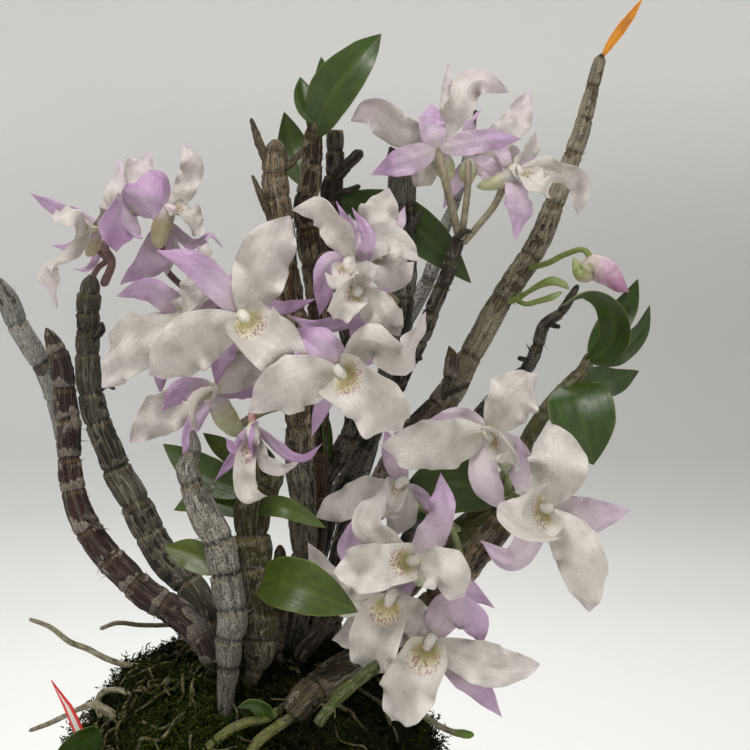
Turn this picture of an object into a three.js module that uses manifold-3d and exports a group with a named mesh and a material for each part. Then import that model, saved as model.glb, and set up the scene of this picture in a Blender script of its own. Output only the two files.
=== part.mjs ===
// A moss-grown pot of Dendrobium moniliforme in flower: old and young canes rise from a mossy
// mound, with blooms on short stalks, a few leaves, free roots and a blank label.
// Millimetres, +Z up. The origin is the middle of the pot's flat foot.

import * as THREE from 'three';
import { mergeVertices } from 'three/addons/utils/BufferGeometryUtils.js';
import Module from 'manifold-3d';

const wasm = await Module();
wasm.setup();

// Driving dimensions
const POT_HEIGHT = 100;
const POT_RIM_RADIUS = 58;
const POT_FOOT_RADIUS = 43;
const POT_WALL = 4;
const POT_FLOOR = 6;
const RIM_BAND_HEIGHT = 9;
const RIM_BAND_PROUD = 2.5;
const DRAIN_RADIUS = 5;
const DRAIN_CIRCLE_RADIUS = 22;
const DRAIN_COUNT = 3;
const ROUND_SIDES = 24;
const DRAIN_SIDES = 8;
const CLEARANCE = 0.3;
const BLADE_THICKNESS = 1.2;
const LEAF_THICKNESS = 1.4;
const LABEL_THICKNESS = 1;
const LABEL_SINK = 9;
const HEART_DEPTH = 2.8;
const MIN_HALF_WIDTH = 0.35;

// How places in the plant are named: as a point of the 750 pixel photograph and a depth in
// millimetres behind the pot's axis, seen from a level eye in front of the plant.
const PHOTO_SIDE = 750;
const FRAME_WIDTH = 217.5;
const EYE_DISTANCE = 420;
const EYE_ACROSS = 34.8;
const EYE_HEIGHT = 212.65;
const PIXEL = FRAME_WIDTH / PHOTO_SIDE;

function seen([across, down, depth]) {
  const spread = PIXEL * (EYE_DISTANCE + depth) / EYE_DISTANCE;
  const x = EYE_ACROSS + (across - PHOTO_SIDE / 2) * spread;
  const z = EYE_HEIGHT + (PHOTO_SIDE / 2 - down) * spread;
  return new THREE.Vector3(x, depth, z);
}

// Solids

function closedSolid(points, triangles) {
  const geometry = new THREE.BufferGeometry();
  const flat = points.flatMap((point) => point.toArray());
  geometry.setAttribute('position', new THREE.Float32BufferAttribute(flat, 3));
  geometry.setIndex(triangles.flat());
  return solidOf(geometry);
}

function solidOf(geometry) {
  const bare = geometry.clone();
  bare.deleteAttribute('normal');
  bare.deleteAttribute('uv');
  const welded = mergeVertices(bare, 1e-4);
  const corners = [];
  const index = welded.index.array;
  for (let i = 0; i < index.length; i += 3) {
    const [a, b, c] = [index[i], index[i + 1], index[i + 2]];
    if (a !== b && b !== c && c !== a) {
      corners.push(a, b, c);
    }
  }
  const mesh = new wasm.Mesh({
    numProp: 3,
    vertProperties: new Float32Array(welded.attributes.position.array),
    triVerts: new Uint32Array(corners),
  });
  return new wasm.Manifold(mesh);
}

function joined(solids) {
  return solids.reduce((whole, solid) => whole.add(solid));
}

function largestBody(solid) {
  const bodies = solid.decompose();
  return bodies.reduce((best, body) => (body.volume() > best.volume() ? body : best));
}

function geometryOf(solid) {
  const mesh = solid.getMesh();
  const geometry = new THREE.BufferGeometry();
  const positions = new Float32Array(mesh.vertProperties);
  geometry.setAttribute('position', new THREE.BufferAttribute(positions, 3));
  geometry.setIndex(new THREE.BufferAttribute(new Uint32Array(mesh.triVerts), 1));
  geometry.computeVertexNormals();
  return geometry;
}

function boxesMeet(a, b) {
  const first = a.boundingBox();
  const second = b.boundingBox();
  return [0, 1, 2].every((k) => first.min[k] < second.max[k] && second.min[k] < first.max[k]);
}

// A closed skin over rings of equal length, with flat caps at both ends
function loft(rings) {
  const count = rings[0].length;
  const triangles = [];
  for (let row = 0; row + 1 < rings.length; row += 1) {
    for (let k = 0; k < count; k += 1) {
      const a = row * count + k;
      const b = row * count + (k + 1) % count;
      triangles.push([a, b, b + count], [a, b + count, a + count]);
    }
  }
  const last = (rings.length - 1) * count;
  for (let k = 1; k + 1 < count; k += 1) {
    triangles.push([0, k + 1, k], [last, last + k, last + k + 1]);
  }
  return closedSolid(rings.flat(), triangles);
}

// Frames along a smooth line: place, direction, normal and side, carried along without twist
function framesAlong(points, steps, facing) {
  const curve = new THREE.CatmullRomCurve3(points, false, 'centripetal');
  const frames = [];
  const normal = facing.clone();
  for (let k = 0; k <= steps; k += 1) {
    const share = k / steps;
    const place = curve.getPointAt(share);
    const along = curve.getTangentAt(share).normalize();
    normal.addScaledVector(along, -normal.dot(along)).normalize();
    const side = new THREE.Vector3().crossVectors(normal, along);
    const span = curve.getUtoTmapping(share) * (points.length - 1);
    frames.push({ share, span, place, along, normal: normal.clone(), side });
  }
  return frames;
}

// A round limb through rows of [across, down, depth, width in pixels]
function limb(rows, { sides = 6, steps = rows.length * 2 - 2, swell = 0, grow = 0 } = {}) {
  const points = rows.map((row) => seen(row));
  if (grow > 0) {
    const first = points[0].clone().sub(points[1]).setLength(grow);
    const final = points.at(-1).clone().sub(points.at(-2)).setLength(grow);
    points[0].add(first);
    points[points.length - 1].add(final);
  }
  const across = new THREE.Vector3(0, -1, 0.2);
  const rings = framesAlong(points, steps, across).map(({ span, place, normal, side }, k) => {
    const row = Math.min(Math.floor(span), rows.length - 2);
    const width = THREE.MathUtils.lerp(rows[row][3], rows[row + 1][3], span - row);
    const joint = k % 2 === 0 ? 1 - swell : 1 + swell;
    const radius = Math.max(width * PIXEL / 2 * joint, MIN_HALF_WIDTH) + grow;
    const ring = [];
    for (let corner = 0; corner < sides; corner += 1) {
      const angle = 2 * Math.PI * corner / sides;
      const point = place.clone().addScaledVector(normal, radius * Math.cos(angle));
      ring.push(point.addScaledVector(side, -radius * Math.sin(angle)));
    }
    return ring;
  });
  return loft(rings);
}

// How wide a blade is along its length, how its edges lift and wave, and how far before or
// behind the throat its layer lies
const OUTLINES = {
  sepal: { bias: 0.8, round: 0.7, base: 0.3, cup: -0.1, wave: 0.03, layer: -1.8 },
  petal: { bias: 1.05, round: 0.6, base: 0.15, cup: -0.08, wave: 0.12, layer: 0 },
  lip: { bias: 0.9, round: 0.6, base: 0.2, cup: 0.45, wave: 0.06, layer: 1.6 },
  leaf: { bias: 0.85, round: 0.7, base: 0.2, cup: 0.16, wave: 0.02, layer: 0 },
};

function blade(kind, { width, turn = 0, rows }, facing, steps, grow) {
  const outline = OUTLINES[kind];
  const points = rows.map((row) => seen(row).addScaledVector(facing, outline.layer));
  const middle = (kind === 'leaf' ? LEAF_THICKNESS : BLADE_THICKNESS) / 2 + grow;
  const rings = framesAlong(points, steps, facing).map(({ share, place, along, normal, side }) => {
    const spin = new THREE.Quaternion().setFromAxisAngle(along, THREE.MathUtils.degToRad(turn));
    const up = normal.clone().applyQuaternion(spin);
    const right = side.clone().applyQuaternion(spin);
    const swell = Math.sin(Math.PI * share ** outline.bias) ** outline.round;
    const fullness = Math.max(swell, outline.base * (1 - share) ** 2);
    const half = Math.max(width * PIXEL / 2 * fullness, MIN_HALF_WIDTH) + grow;
    const beat = Math.sin(2 * Math.PI * (1.5 * share + width / 17));
    const lift = (edge) => half * (outline.cup + outline.wave * beat * edge);
    const at = (offset, height) => place.clone()
      .addScaledVector(right, offset)
      .addScaledVector(up, height);
    const [left, far] = [lift(-1), lift(1)];
    return [
      at(-half, left + grow),
      at(-half, left - grow),
      at(0, -middle),
      at(half, far - grow),
      at(half, far + grow),
      at(0, middle),
    ];
  });
  return bladeSkin(rings);
}

// A blade's rings run left top, left bottom, middle bottom, right bottom, right top, middle top.
// Both faces are split by the same diagonals, and the ends by the middle line.
function bladeSkin(rings) {
  const count = 6;
  const triangles = [];
  const mirrored = { 0: true, 1: false, 2: false, 3: true, 4: false, 5: false };
  for (let row = 0; row + 1 < rings.length; row += 1) {
    for (let k = 0; k < count; k += 1) {
      const a = row * count + k;
      const b = row * count + (k + 1) % count;
      if (k === 1 || k === 2 || mirrored[k]) {
        triangles.push([a, b, b + count], [a, b + count, a + count]);
      } else {
        triangles.push([a, b, a + count], [b, b + count, a + count]);
      }
    }
  }
  const last = (rings.length - 1) * count;
  for (const [a, b, c] of [[0, 1, 2], [0, 2, 5], [5, 2, 3], [5, 3, 4]]) {
    triangles.push([a, c, b], [last + a, last + b, last + c]);
  }
  return closedSolid(rings.flat(), triangles);
}

// Canes, from top to foot, as rows of across, down, depth and width. The foot goes on into the
// moss. Stubs are old flower stalks and sheath tips, and leaves grow from the cane.

const leafOf = (width, turn, ...rows) => ({ width, turn, rows });

const CANES = [
  {
    name: 'cane_left_outer',
    rows: [
      [-25, 262, 4, 8], [-10, 281, 4, 19], [7, 300, 4, 20], [18, 325, 5, 20], [33, 350, 7, 20],
      [48, 375, 10, 20], [60, 412, 12, 19], [68, 454, 12, 19], [78, 506, 12, 18],
      [103, 558, 11, 18], [140, 590, 9, 17], [180, 622, 7, 16], [203, 652, 6, 15], [208, 682, 6, 13],
    ],
    stubs: [],
  },
  {
    name: 'cane_left_dark',
    rows: [
      [46, 328, -12, 4], [51, 338, -12, 12], [56, 349, -12, 18], [63, 370, -12, 20],
      [65, 398, -12, 21], [69, 426, -13, 22], [69, 454, -14, 21], [72, 482, -15, 22],
      [80, 512, -16, 24], [98, 545, -17, 26], [125, 574, -18, 27], [147, 594, -19, 27],
      [169, 608, -20, 27], [191, 626, -22, 26], [208, 651, -24, 22], [216, 672, -24, 18],
      [220, 700, -24, 15],
    ],
    stubs: [[[84, 514, -18, 8], [97, 520, -22, 7]]],
  },
  {
    name: 'cane_left_grey',
    rows: [
      [92, 275, -5, 14], [89, 297, -5, 21], [88, 329, -5, 21], [88, 370, -5, 22],
      [93, 405, -5, 24], [102, 433, -5, 25], [111, 454, -6, 26], [119, 475, -6, 27],
      [132, 496, -7, 28], [143, 520, -7, 29], [166, 560, -8, 30], [183, 578, -8, 29],
      [198, 597, -9, 27], [210, 619, -9, 23], [217, 640, -10, 19], [222, 672, -10, 16],
    ],
    stubs: [
      [[90, 338, -5, 8], [101, 331, -11, 8], [102, 322, -13, 4]],
      [[95, 392, -6, 6], [107, 386, -10, 4], [118, 378, -12, 4], [122, 369, -12, 3]],
      [[107, 386, -10, 3], [115, 389, -12, 3]],
    ],
  },
  {
    name: 'cane_front_speckled',
    rows: [
      [192, 430, -38, 4], [195, 449, -38, 10], [187, 467, -38, 18], [191, 482, -38, 20],
      [198, 499, -38, 24], [206, 518, -38, 26], [218, 539, -38, 27], [223, 559, -38, 26],
      [226, 577, -38, 26], [228, 592, -38, 26], [232, 611, -38, 25], [232, 624, -38, 24],
      [229, 639, -38, 23], [229, 656, -38, 20], [228, 672, -38, 18], [226, 690, -38, 14],
      [225, 718, -38, 12],
    ],
    stubs: [[[199, 500, -40, 11], [207, 493, -42, 9], [215, 484, -42, 6]]],
    leaves: [leafOf(30, 0, [222, 572, -36], [195, 556, -32], [164, 547, -28])],
  },
  {
    name: 'cane_front_olive',
    rows: [
      [262, 446, -25, 18], [262, 460, -25, 28], [265, 486, -25, 30], [254, 501, -26, 29],
      [252, 520, -26, 30], [252, 536, -26, 31], [253, 552, -26, 31], [253, 570, -27, 31],
      [256, 589, -27, 31], [260, 610, -28, 31], [261, 626, -28, 30], [261, 640, -28, 28],
      [259, 656, -29, 24], [254, 671, -30, 14], [249, 684, -30, 11], [247, 712, -30, 11],
    ],
    stubs: [],
    leaves: [
      leafOf(36, 0, [252, 494, -24], [205, 474, -20], [163, 444, -17]),
      leafOf(22, 0, [256, 470, -22], [228, 452, -19], [203, 433, -17]),
      leafOf(30, 0, [248, 514, -24], [210, 497, -21], [174, 510, -18]),
      leafOf(20, 0, [252, 508, -27], [285, 508, -37], [326, 528, -36]),
      leafOf(50, 0, [255, 576, -28], [302, 588, -41], [358, 612, -42]),
    ],
  },
  {
    name: 'cane_front_slender',
    rows: [
      [280, 545, -20, 7], [280, 562, -20, 12], [279, 590, -20, 13], [278, 620, -21, 13],
      [275, 655, -22, 13], [271, 688, -22, 12], [270, 706, -22, 11],
    ],
    stubs: [],
  },
  {
    name: 'cane_tall_tan',
    rows: [
      [276, 140, -12, 19], [275, 167, -12, 23], [276, 191, -12, 24], [280, 215, -12, 23],
      [283, 250, -11, 24], [287, 288, -10, 26], [294, 330, -9, 27], [299, 370, -8, 26],
      [300, 425, -8, 26], [299, 469, -8, 25], [303, 495, -8, 24], [302, 520, -8, 24],
      [304, 552, -8, 23], [300, 600, -8, 21], [291, 655, -8, 19], [288, 682, -8, 17],
    ],
    stubs: [
      [[271, 172, -13, 9], [260, 145, -14, 9], [251, 118, -14, 4]],
      [[272, 222, -14, 8], [261, 196, -16, 7], [252, 175, -16, 3]],
      [[285, 170, -13, 8], [296, 158, -14, 7], [303, 149, -14, 3]],
    ],
  },
  {
    name: 'cane_tall_leafy',
    rows: [
      [321, 105, -8, 8], [316, 124, -7, 15], [313, 140, -6, 18], [312, 159, -5, 20],
      [310, 183, -4, 20], [304, 207, -3, 21], [309, 228, -1, 26], [315, 256, 1, 30],
      [319, 285, 3, 26], [320, 330, 4, 23], [318, 400, 5, 22], [317, 470, 5, 21],
      [316, 540, 5, 20], [310, 600, 5, 19], [301, 655, 4, 17], [298, 680, 4, 16],
    ],
    stubs: [],
    leaves: [
      leafOf(46, -6, [313, 138, -7], [331, 95, -14], [358, 60, -16], [381, 34, -13]),
      leafOf(24, 8, [318, 114, -7], [324, 84, 0], [321, 57, 2]),
      leafOf(22, 0, [315, 124, -9], [306, 104, -9], [300, 77, -6]),
      leafOf(36, 0, [309, 188, -4], [294, 150, 5], [284, 112, 4]),
    ],
  },
  {
    name: 'cane_short_cut',
    rows: [
      [335, 131, 4, 15], [335, 152, 4, 16], [335, 175, 4, 17], [331, 191, 4, 20],
      [334, 225, 6, 20], [340, 270, 9, 19], [348, 330, 11, 18], [354, 385, 12, 18],
      [353, 425, 12, 18], [340, 454, 12, 19], [329, 471, 12, 19], [319, 496, 12, 18],
      [308, 540, 12, 18], [290, 600, 12, 17], [276, 655, 11, 15], [272, 680, 11, 14],
    ],
    stubs: [
      [[336, 178, 2, 12], [349, 163, -1, 12], [362, 151, -3, 11]],
      [[334, 194, 3, 7], [347, 191, 0, 7], [360, 186, -4, 5]],
    ],
    leaves: [
      leafOf(46, 12, [334, 200, 5], [395, 216, 3], [436, 246, 1], [471, 283, 2]),
      leafOf(26, 65, [328, 474, 11], [326, 440, 5], [322, 400, 3]),
    ],
  },
  {
    name: 'cane_centre_grey',
    rows: [
      [390, 147, 2, 7], [395, 158, 2, 18], [401, 172, 2, 24], [402, 199, 2, 25],
      [404, 240, 3, 24], [403, 295, 7, 23], [400, 320, 9, 21], [387, 375, 15, 19],
      [371, 434, 19, 18], [361, 451, 20, 18], [351, 471, 20, 18], [338, 496, 20, 18],
      [329, 518, 20, 18], [318, 555, 20, 18], [303, 610, 20, 17], [291, 655, 20, 16],
      [287, 682, 20, 15],
    ],
    stubs: [[[404, 234, 2, 8], [418, 219, -3, 9], [420, 210, -5, 4]]],
  },
  {
    name: 'cane_thin_twig',
    rows: [
      [459, 235, -4, 12], [453, 254, -3, 13], [446, 277, -1, 14], [435, 303, 2, 14],
      [424, 332, 6, 15], [413, 352, 9, 16], [401, 379, 15, 15], [388, 405, 22, 15],
      [370, 440, 28, 15], [352, 490, 29, 15], [336, 560, 29, 15], [316, 650, 28, 14],
      [312, 680, 28, 13],
    ],
    stubs: [
      [[458, 238, -6, 6], [466, 231, -9, 6], [472, 232, -9, 3]],
      [[443, 285, -1, 8], [450, 281, -5, 7]],
      [[411, 357, 9, 8], [421, 358, 4, 7]],
    ],
  },
  {
    name: 'cane_long_right',
    rows: [
      [643, -2, 22, 3], [630, 16, 22, 12], [612, 40, 23, 13], [602, 54, 24, 10], [597, 70, 24, 12],
      [589, 102, 24, 14], [580, 135, 24, 17], [571, 160, 23, 18], [562, 185, 23, 18],
      [554, 204, 22, 20], [543, 233, 21, 22], [529, 259, 20, 23], [512, 284, 19, 23],
      [496, 309, 18, 23], [480, 338, 17, 23], [466, 363, 16, 23], [453, 393, 15, 22],
      [434, 420, 14, 20], [398, 455, 14, 20], [372, 500, 14, 20], [352, 560, 14, 19],
      [336, 610, 14, 18], [329, 652, 14, 17], [327, 682, 14, 16],
    ],
    stubs: [],
  },
  {
    name: 'cane_dry_bract',
    rows: [
      [449, 346, 2, 4], [452, 358, 2, 13], [449, 382, 2, 14], [442, 396, 1, 17],
      [431, 409, 0, 18], [421, 419, -1, 18], [411, 427, -2, 16], [390, 458, -6, 15],
      [362, 520, -10, 16], [342, 585, -14, 17], [322, 627, -17, 17], [301, 655, -19, 15],
      [292, 672, -20, 13], [288, 694, -20, 12],
    ],
    stubs: [[[447, 393, -1, 9], [458, 389, -4, 8], [470, 383, -6, 4]]],
  },
  {
    name: 'cane_thin_grey',
    rows: [
      [578, 285, 34, 7], [561, 312, 33, 10], [544, 326, 32, 11], [537, 348, 32, 12],
      [527, 368, 31, 12], [510, 381, 30, 12], [489, 403, 30, 13], [471, 425, 30, 13],
      [446, 465, 29, 13], [416, 520, 28, 13], [382, 590, 27, 13], [352, 650, 26, 12],
      [346, 680, 26, 11],
    ],
    stubs: [
      [[546, 324, 32, 6], [560, 327, 28, 5]],
      [[531, 361, 31, 6], [518, 358, 28, 5]],
    ],
  },
  {
    name: 'cane_leafy_right',
    rows: [
      [592, 352, 0, 9], [583, 371, 0, 13], [567, 387, 0, 14], [545, 412, 1, 14],
      [530, 435, 1, 15], [512, 470, 1, 19], [493, 507, 0, 24], [466, 528, 0, 26],
      [440, 549, 0, 25], [412, 582, 1, 22], [382, 622, 3, 19], [358, 655, 4, 17],
      [353, 684, 4, 15],
    ],
    stubs: [],
    leaves: [
      leafOf(34, 20, [588, 361, -1], [614, 340, -8], [611, 308, -14], [588, 293, -18], [559, 307, -18]),
      leafOf(32, -10, [590, 360, 1], [613, 326, 7], [628, 304, 8], [638, 279, 6]),
      leafOf(24, 10, [589, 362, 1], [620, 352, 11], [640, 332, 12], [650, 305, 10]),
      leafOf(32, 15, [578, 377, 1], [610, 382, 8], [639, 371, 8]),
      leafOf(64, 0, [568, 386, -1], [578, 400, -9], [586, 430, -13], [593, 465, -12]),
      leafOf(56, 0, [496, 500, -3], [456, 484, -10], [425, 496, -11], [399, 523, -8]),
    ],
  },
  {
    name: 'cane_back_pale',
    rows: [
      [476, 110, 40, 5], [470, 140, 40, 7], [457, 197, 40, 9], [444, 230, 39, 12],
      [430, 275, 39, 15], [419, 297, 38, 15], [405, 325, 38, 15], [385, 400, 38, 14],
      [361, 480, 37, 14], [338, 560, 37, 14], [322, 645, 36, 13], [318, 676, 36, 12],
    ],
    stubs: [],
  },
  {
    name: 'cane_cut_right',
    rows: [
      [502, 524, -14, 24], [484, 545, -14, 26], [465, 567, -14, 26], [430, 607, -16, 27],
      [402, 636, -19, 29], [384, 650, -21, 31], [346, 670, -27, 32], [308, 696, -34, 29],
      [290, 716, -38, 22],
    ],
    stubs: [],
  },
  {
    name: 'young_shoot',
    rows: [
      [398, 642, -34, 4], [388, 655, -35, 9], [366, 674, -39, 10], [342, 694, -43, 10],
      [326, 712, -45, 8], [318, 724, -45, 8],
    ],
    stubs: [],
  },
];

// Free roots, from the tip into the moss
const ROOTS = [
  {
    name: 'root_left_long',
    rows: [
      [29, 619, -4, 4], [50, 627, -4, 5], [70, 642, -5, 6], [88, 649, -5, 6], [105, 658, -6, 6],
      [122, 664, -7, 6], [141, 668, -9, 6], [160, 690, -12, 6],
    ],
  },
  {
    name: 'root_left_back',
    rows: [
      [100, 629, 16, 4], [117, 623, 16, 5], [140, 625, 17, 5], [166, 625, 19, 5], [194, 622, 22, 5],
      [216, 640, 24, 5], [226, 668, 24, 5],
    ],
  },
  {
    name: 'root_left_low',
    rows: [
      [29, 731, -16, 4], [50, 723, -18, 5], [67, 715, -20, 5], [79, 709, -21, 5], [94, 705, -22, 8],
      [112, 714, -23, 8], [134, 738, -24, 8],
    ],
  },
  {
    name: 'root_left_loop',
    rows: [
      [116, 722, -18, 6], [101, 716, -17, 6], [98, 704, -16, 6], [101, 694, -16, 6],
      [118, 690, -18, 6], [134, 698, -20, 6], [140, 716, -20, 6],
    ],
  },
  {
    name: 'root_right',
    rows: [
      [474, 735, -10, 6], [464, 734, -10, 9], [450, 731, -10, 6], [432, 722, -10, 6],
      [412, 711, -10, 6], [396, 716, -10, 6],
    ],
  },
  {
    name: 'root_front_upper',
    rows: [
      [296, 696, -29, 8], [282, 709, -36, 9], [266, 718, -41.5, 9], [239, 725, -44.4, 9],
      [214, 742, -46, 9], [200, 760, -45.5, 8],
    ],
  },
  {
    name: 'root_front_lower',
    rows: [
      [314, 698, -26, 8], [300, 712, -34, 10], [278, 726, -42, 10], [258, 742, -46, 10],
      [240, 766, -47.5, 8],
    ],
  },
];

// Blooms. Every blade starts in the throat, and its rows go on from there to the tip.

const sepal = (width, ...rows) => ({ kind: 'sepal', width, rows });
const petal = (width, ...rows) => ({ kind: 'petal', width, rows });
const lip = (width, ...rows) => ({ kind: 'lip', width, rows });

const BLOOMS = [
  {
    name: 'bloom_left_outer',
    facing: [-0.6, -0.75, -0.2],
    throat: [92, 224, -12],
    spur: [[92, 228, -11, 17], [93, 246, -9, 16], [87, 256, -8, 9]],
    stalk: [[95, 248, -8, 7], [106, 260, -7, 6], [98, 268, -6, 6], [90, 282, -5, 6]],
    blades: [
      sepal(17, [56, 212, -8], [25, 194, -10]),
      petal(27, [68, 256, -17], [44, 266, -17], [50, 284, -16], [57, 308, -14]),
      sepal(12, [68, 248, -8], [47, 246, -8]),
      sepal(14, [92, 250, -6], [84, 267, -7], [69, 270, -9]),
      petal(20, [103, 208, -4], [107, 193, -3]),
      lip(38, [76, 214, -20], [54, 216, -22]),
    ],
  },
  {
    name: 'bloom_left_back_turned',
    facing: [0.1, 0.9, 0.4],
    throat: [134, 210, -17],
    spur: [[132, 208, -17, 14], [122, 224, -15, 14], [112, 238, -15, 9]],
    stalk: [[116, 232, -15, 9], [105, 246, -14, 8], [112, 262, -9, 8], [103, 286, -6, 9]],
    blades: [
      sepal(50, [122, 222, -24], [118, 250, -21]),
      sepal(40, [146, 192, -24], [151, 168, -21]),
      petal(25, [139, 172, -14], [153, 152, -10]),
      petal(18, [114, 198, -15], [118, 180, -15], [120, 159, -12]),
      sepal(14, [163, 196, -12], [164, 177, -14], [146, 168, -12]),
      lip(28, [152, 190, -4], [158, 176, 2]),
    ],
  },
  {
    name: 'bloom_left_inner',
    facing: [0.3, -0.75, 0.55],
    throat: [166, 214, -10],
    spur: [[168, 208, -13, 18], [161, 230, -16, 20], [158, 249, -15, 11]],
    stalk: [[160, 240, -10, 8], [168, 272, 0, 7], [214, 306, 6, 7], [284, 318, -9, 7]],
    blades: [
      petal(24, [186, 186, -9], [192, 166, -10], [182, 143, -9]),
      sepal(14, [194, 240, -14], [212, 230, -15], [224, 243, -13]),
      sepal(30, [164, 230, -9], [150, 258, -10], [121, 281, -8]),
      petal(28, [166, 236, -8], [168, 256, -6], [166, 275, -5]),
      sepal(18, [150, 192, -3], [148, 172, 0]),
      lip(30, [186, 222, -15], [202, 240, -14]),
    ],
  },
  {
    name: 'bloom_centre_left',
    facing: [0.2, -0.95, -0.1],
    throat: [244, 318, -30],
    spur: [[243, 316, -27, 16], [238, 332, -22, 14], [240, 350, -19, 9]],
    stalk: [[243, 336, -20, 8], [260, 356, -14, 8], [296, 366, -8, 8]],
    blades: [
      sepal(28, [222, 290, -35], [194, 264, -36], [157, 250, -32]),
      petal(54, [264, 264, -33], [290, 216, -30]),
      petal(54, [194, 342, -34], [148, 376, -29]),
      sepal(28, [232, 330, -26], [222, 358, -30], [217, 386, -28]),
      sepal(16, [254, 306, -24], [286, 309, -26], [317, 299, -24]),
      lip(54, [260, 336, -40], [274, 348, -41], [284, 372, -36]),
    ],
  },
  {
    name: 'bloom_behind_left',
    facing: [-0.25, -0.95, 0.1],
    throat: [186, 316, -15],
    spur: [[186, 316, -13, 14], [190, 330, -10, 13], [198, 342, -8, 8]],
    stalk: [[194, 332, -8, 7], [240, 352, -3, 7], [296, 350, -7, 7]],
    blades: [
      sepal(26, [148, 290, -21], [113, 295, -18]),
      petal(50, [140, 338, -21], [102, 388, -17]),
      petal(32, [200, 278, -16], [206, 240, -13]),
      sepal(22, [160, 362, -12], [158, 396, -11]),
      sepal(18, [222, 286, -12], [236, 268, -10]),
      lip(28, [192, 304, -25], [206, 296, -25]),
    ],
  },
  {
    name: 'bloom_centre_low_left',
    facing: [-0.2, -0.95, -0.2],
    throat: [214, 392, -21],
    spur: [[214, 392, -20, 18], [226, 418, -17, 24], [242, 436, -16, 14]],
    stalk: [[236, 428, -15, 9], [262, 412, -12, 8], [298, 402, -8, 8]],
    blades: [
      sepal(26, [182, 394, -26], [159, 412, -23]),
      petal(42, [168, 410, -17], [130, 442, -13]),
      petal(34, [244, 372, -22], [270, 384, -20]),
      sepal(15, [188, 432, -23], [181, 462, -21]),
      sepal(20, [250, 392, -17], [266, 402, -16]),
      lip(36, [204, 402, -31], [196, 430, -28]),
    ],
  },
  {
    name: 'bloom_hanging',
    facing: [-0.1, -0.9, -0.45],
    throat: [255, 430, -34],
    spur: [[255, 425, -34, 9], [255, 438, -33, 12], [254, 448, -32, 8]],
    stalk: [[255, 434, -34, 8], [252, 414, -33, 7], [262, 392, -27, 7], [298, 384, -9, 7]],
    blades: [
      sepal(24, [251, 445, -41], [251, 462, -41]),
      sepal(19, [238, 452, -40], [224, 441, -41]),
      sepal(12, [280, 453, -37], [304, 461, -37], [321, 447, -36]),
      sepal(11, [232, 462, -33], [213, 485, -32]),
      petal(15, [267, 464, -36], [282, 470, -36], [300, 460, -35]),
      lip(21, [246, 468, -38], [251, 490, -37], [268, 493, -35]),
    ],
  },
  {
    name: 'bloom_centre_top',
    facing: [-0.3, -0.9, 0.1],
    throat: [352, 266, -30],
    spur: [[352, 262, -27, 12], [358, 274, -22, 13], [362, 286, -18, 8]],
    stalk: [[359, 278, -18, 8], [352, 292, -8, 7], [345, 308, 10, 7]],
    blades: [
      petal(30, [336, 230, -35], [318, 212, -35], [292, 210, -31]),
      sepal(17, [367, 240, -38], [350, 206, -36]),
      sepal(24, [328, 264, -36], [317, 315, -32]),
      petal(28, [388, 238, -32], [420, 261, -30]),
      sepal(11, [352, 250, -25], [345, 222, -25], [334, 200, -24]),
      lip(30, [346, 284, -41], [352, 300, -40]),
    ],
  },
  {
    name: 'bloom_centre_back',
    facing: [-0.15, -0.95, 0.2],
    throat: [374, 250, -16],
    spur: [[374, 250, -14, 12], [378, 264, -10, 12], [382, 276, -7, 8]],
    stalk: [[380, 268, -7, 8], [386, 290, -2, 7], [400, 304, 7, 7]],
    blades: [
      petal(38, [378, 218, -21], [389, 188, -18]),
      petal(38, [394, 270, -24], [414, 262, -21]),
      sepal(16, [352, 228, -15], [348, 212, -14]),
      sepal(16, [396, 226, -14], [404, 204, -12]),
      sepal(16, [362, 276, -14], [364, 294, -12]),
      lip(26, [388, 246, -25], [400, 238, -23]),
    ],
  },
  {
    name: 'bloom_centre_middle',
    facing: [-0.1, -0.95, -0.2],
    throat: [356, 292, -36],
    spur: [[356, 294, -33, 11], [352, 308, -28, 12], [346, 320, -23, 8]],
    stalk: [[349, 314, -23, 8], [338, 322, -10, 7], [321, 336, 4, 7]],
    blades: [
      petal(36, [378, 312, -42], [400, 336, -38]),
      petal(22, [366, 272, -43], [380, 266, -41]),
      sepal(16, [350, 318, -30], [316, 328, -32], [286, 317, -30]),
      sepal(18, [356, 322, -33], [350, 342, -31]),
      sepal(16, [378, 296, -31], [390, 290, -29]),
      lip(30, [346, 302, -46], [334, 318, -43]),
    ],
  },
  {
    name: 'bloom_centre_front',
    facing: [0, -0.98, -0.1],
    throat: [342, 372, -38],
    spur: [[341, 372, -35, 15], [334, 384, -30, 14], [328, 396, -26, 8]],
    stalk: [[332, 388, -27, 8], [326, 384, -14, 8], [318, 392, 2, 8]],
    blades: [
      sepal(38, [318, 350, -43], [288, 330, -40]),
      petal(50, [296, 384, -45], [248, 412, -40]),
      petal(34, [372, 342, -45], [402, 358, -46], [426, 312, -42]),
      sepal(16, [322, 408, -36], [311, 438, -34]),
      sepal(12, [372, 358, -31], [392, 350, -30]),
      lip(54, [368, 392, -50], [402, 432, -45]),
    ],
  },
  {
    name: 'bloom_right_upper',
    facing: [0.1, -0.95, -0.2],
    throat: [490, 434, -27],
    spur: [[490, 434, -24, 16], [502, 456, -20, 18], [512, 476, -16, 9]],
    stalk: [[506, 468, -17, 8], [508, 486, -11, 7], [500, 500, -2, 7]],
    blades: [
      petal(48, [516, 398, -31], [538, 374, -28]),
      petal(50, [432, 446, -34], [381, 446, -30]),
      sepal(19, [460, 418, -23], [430, 421, -22]),
      sepal(28, [486, 480, -31], [510, 515, -27]),
      sepal(24, [522, 462, -19], [526, 492, -17]),
      lip(34, [506, 446, -40], [518, 470, -37]),
    ],
  },
  {
    name: 'bloom_right_front',
    facing: [-0.1, -0.98, 0.05],
    throat: [544, 508, -28],
    spur: [[544, 508, -26, 15], [530, 504, -20, 15], [518, 500, -17, 9]],
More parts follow.
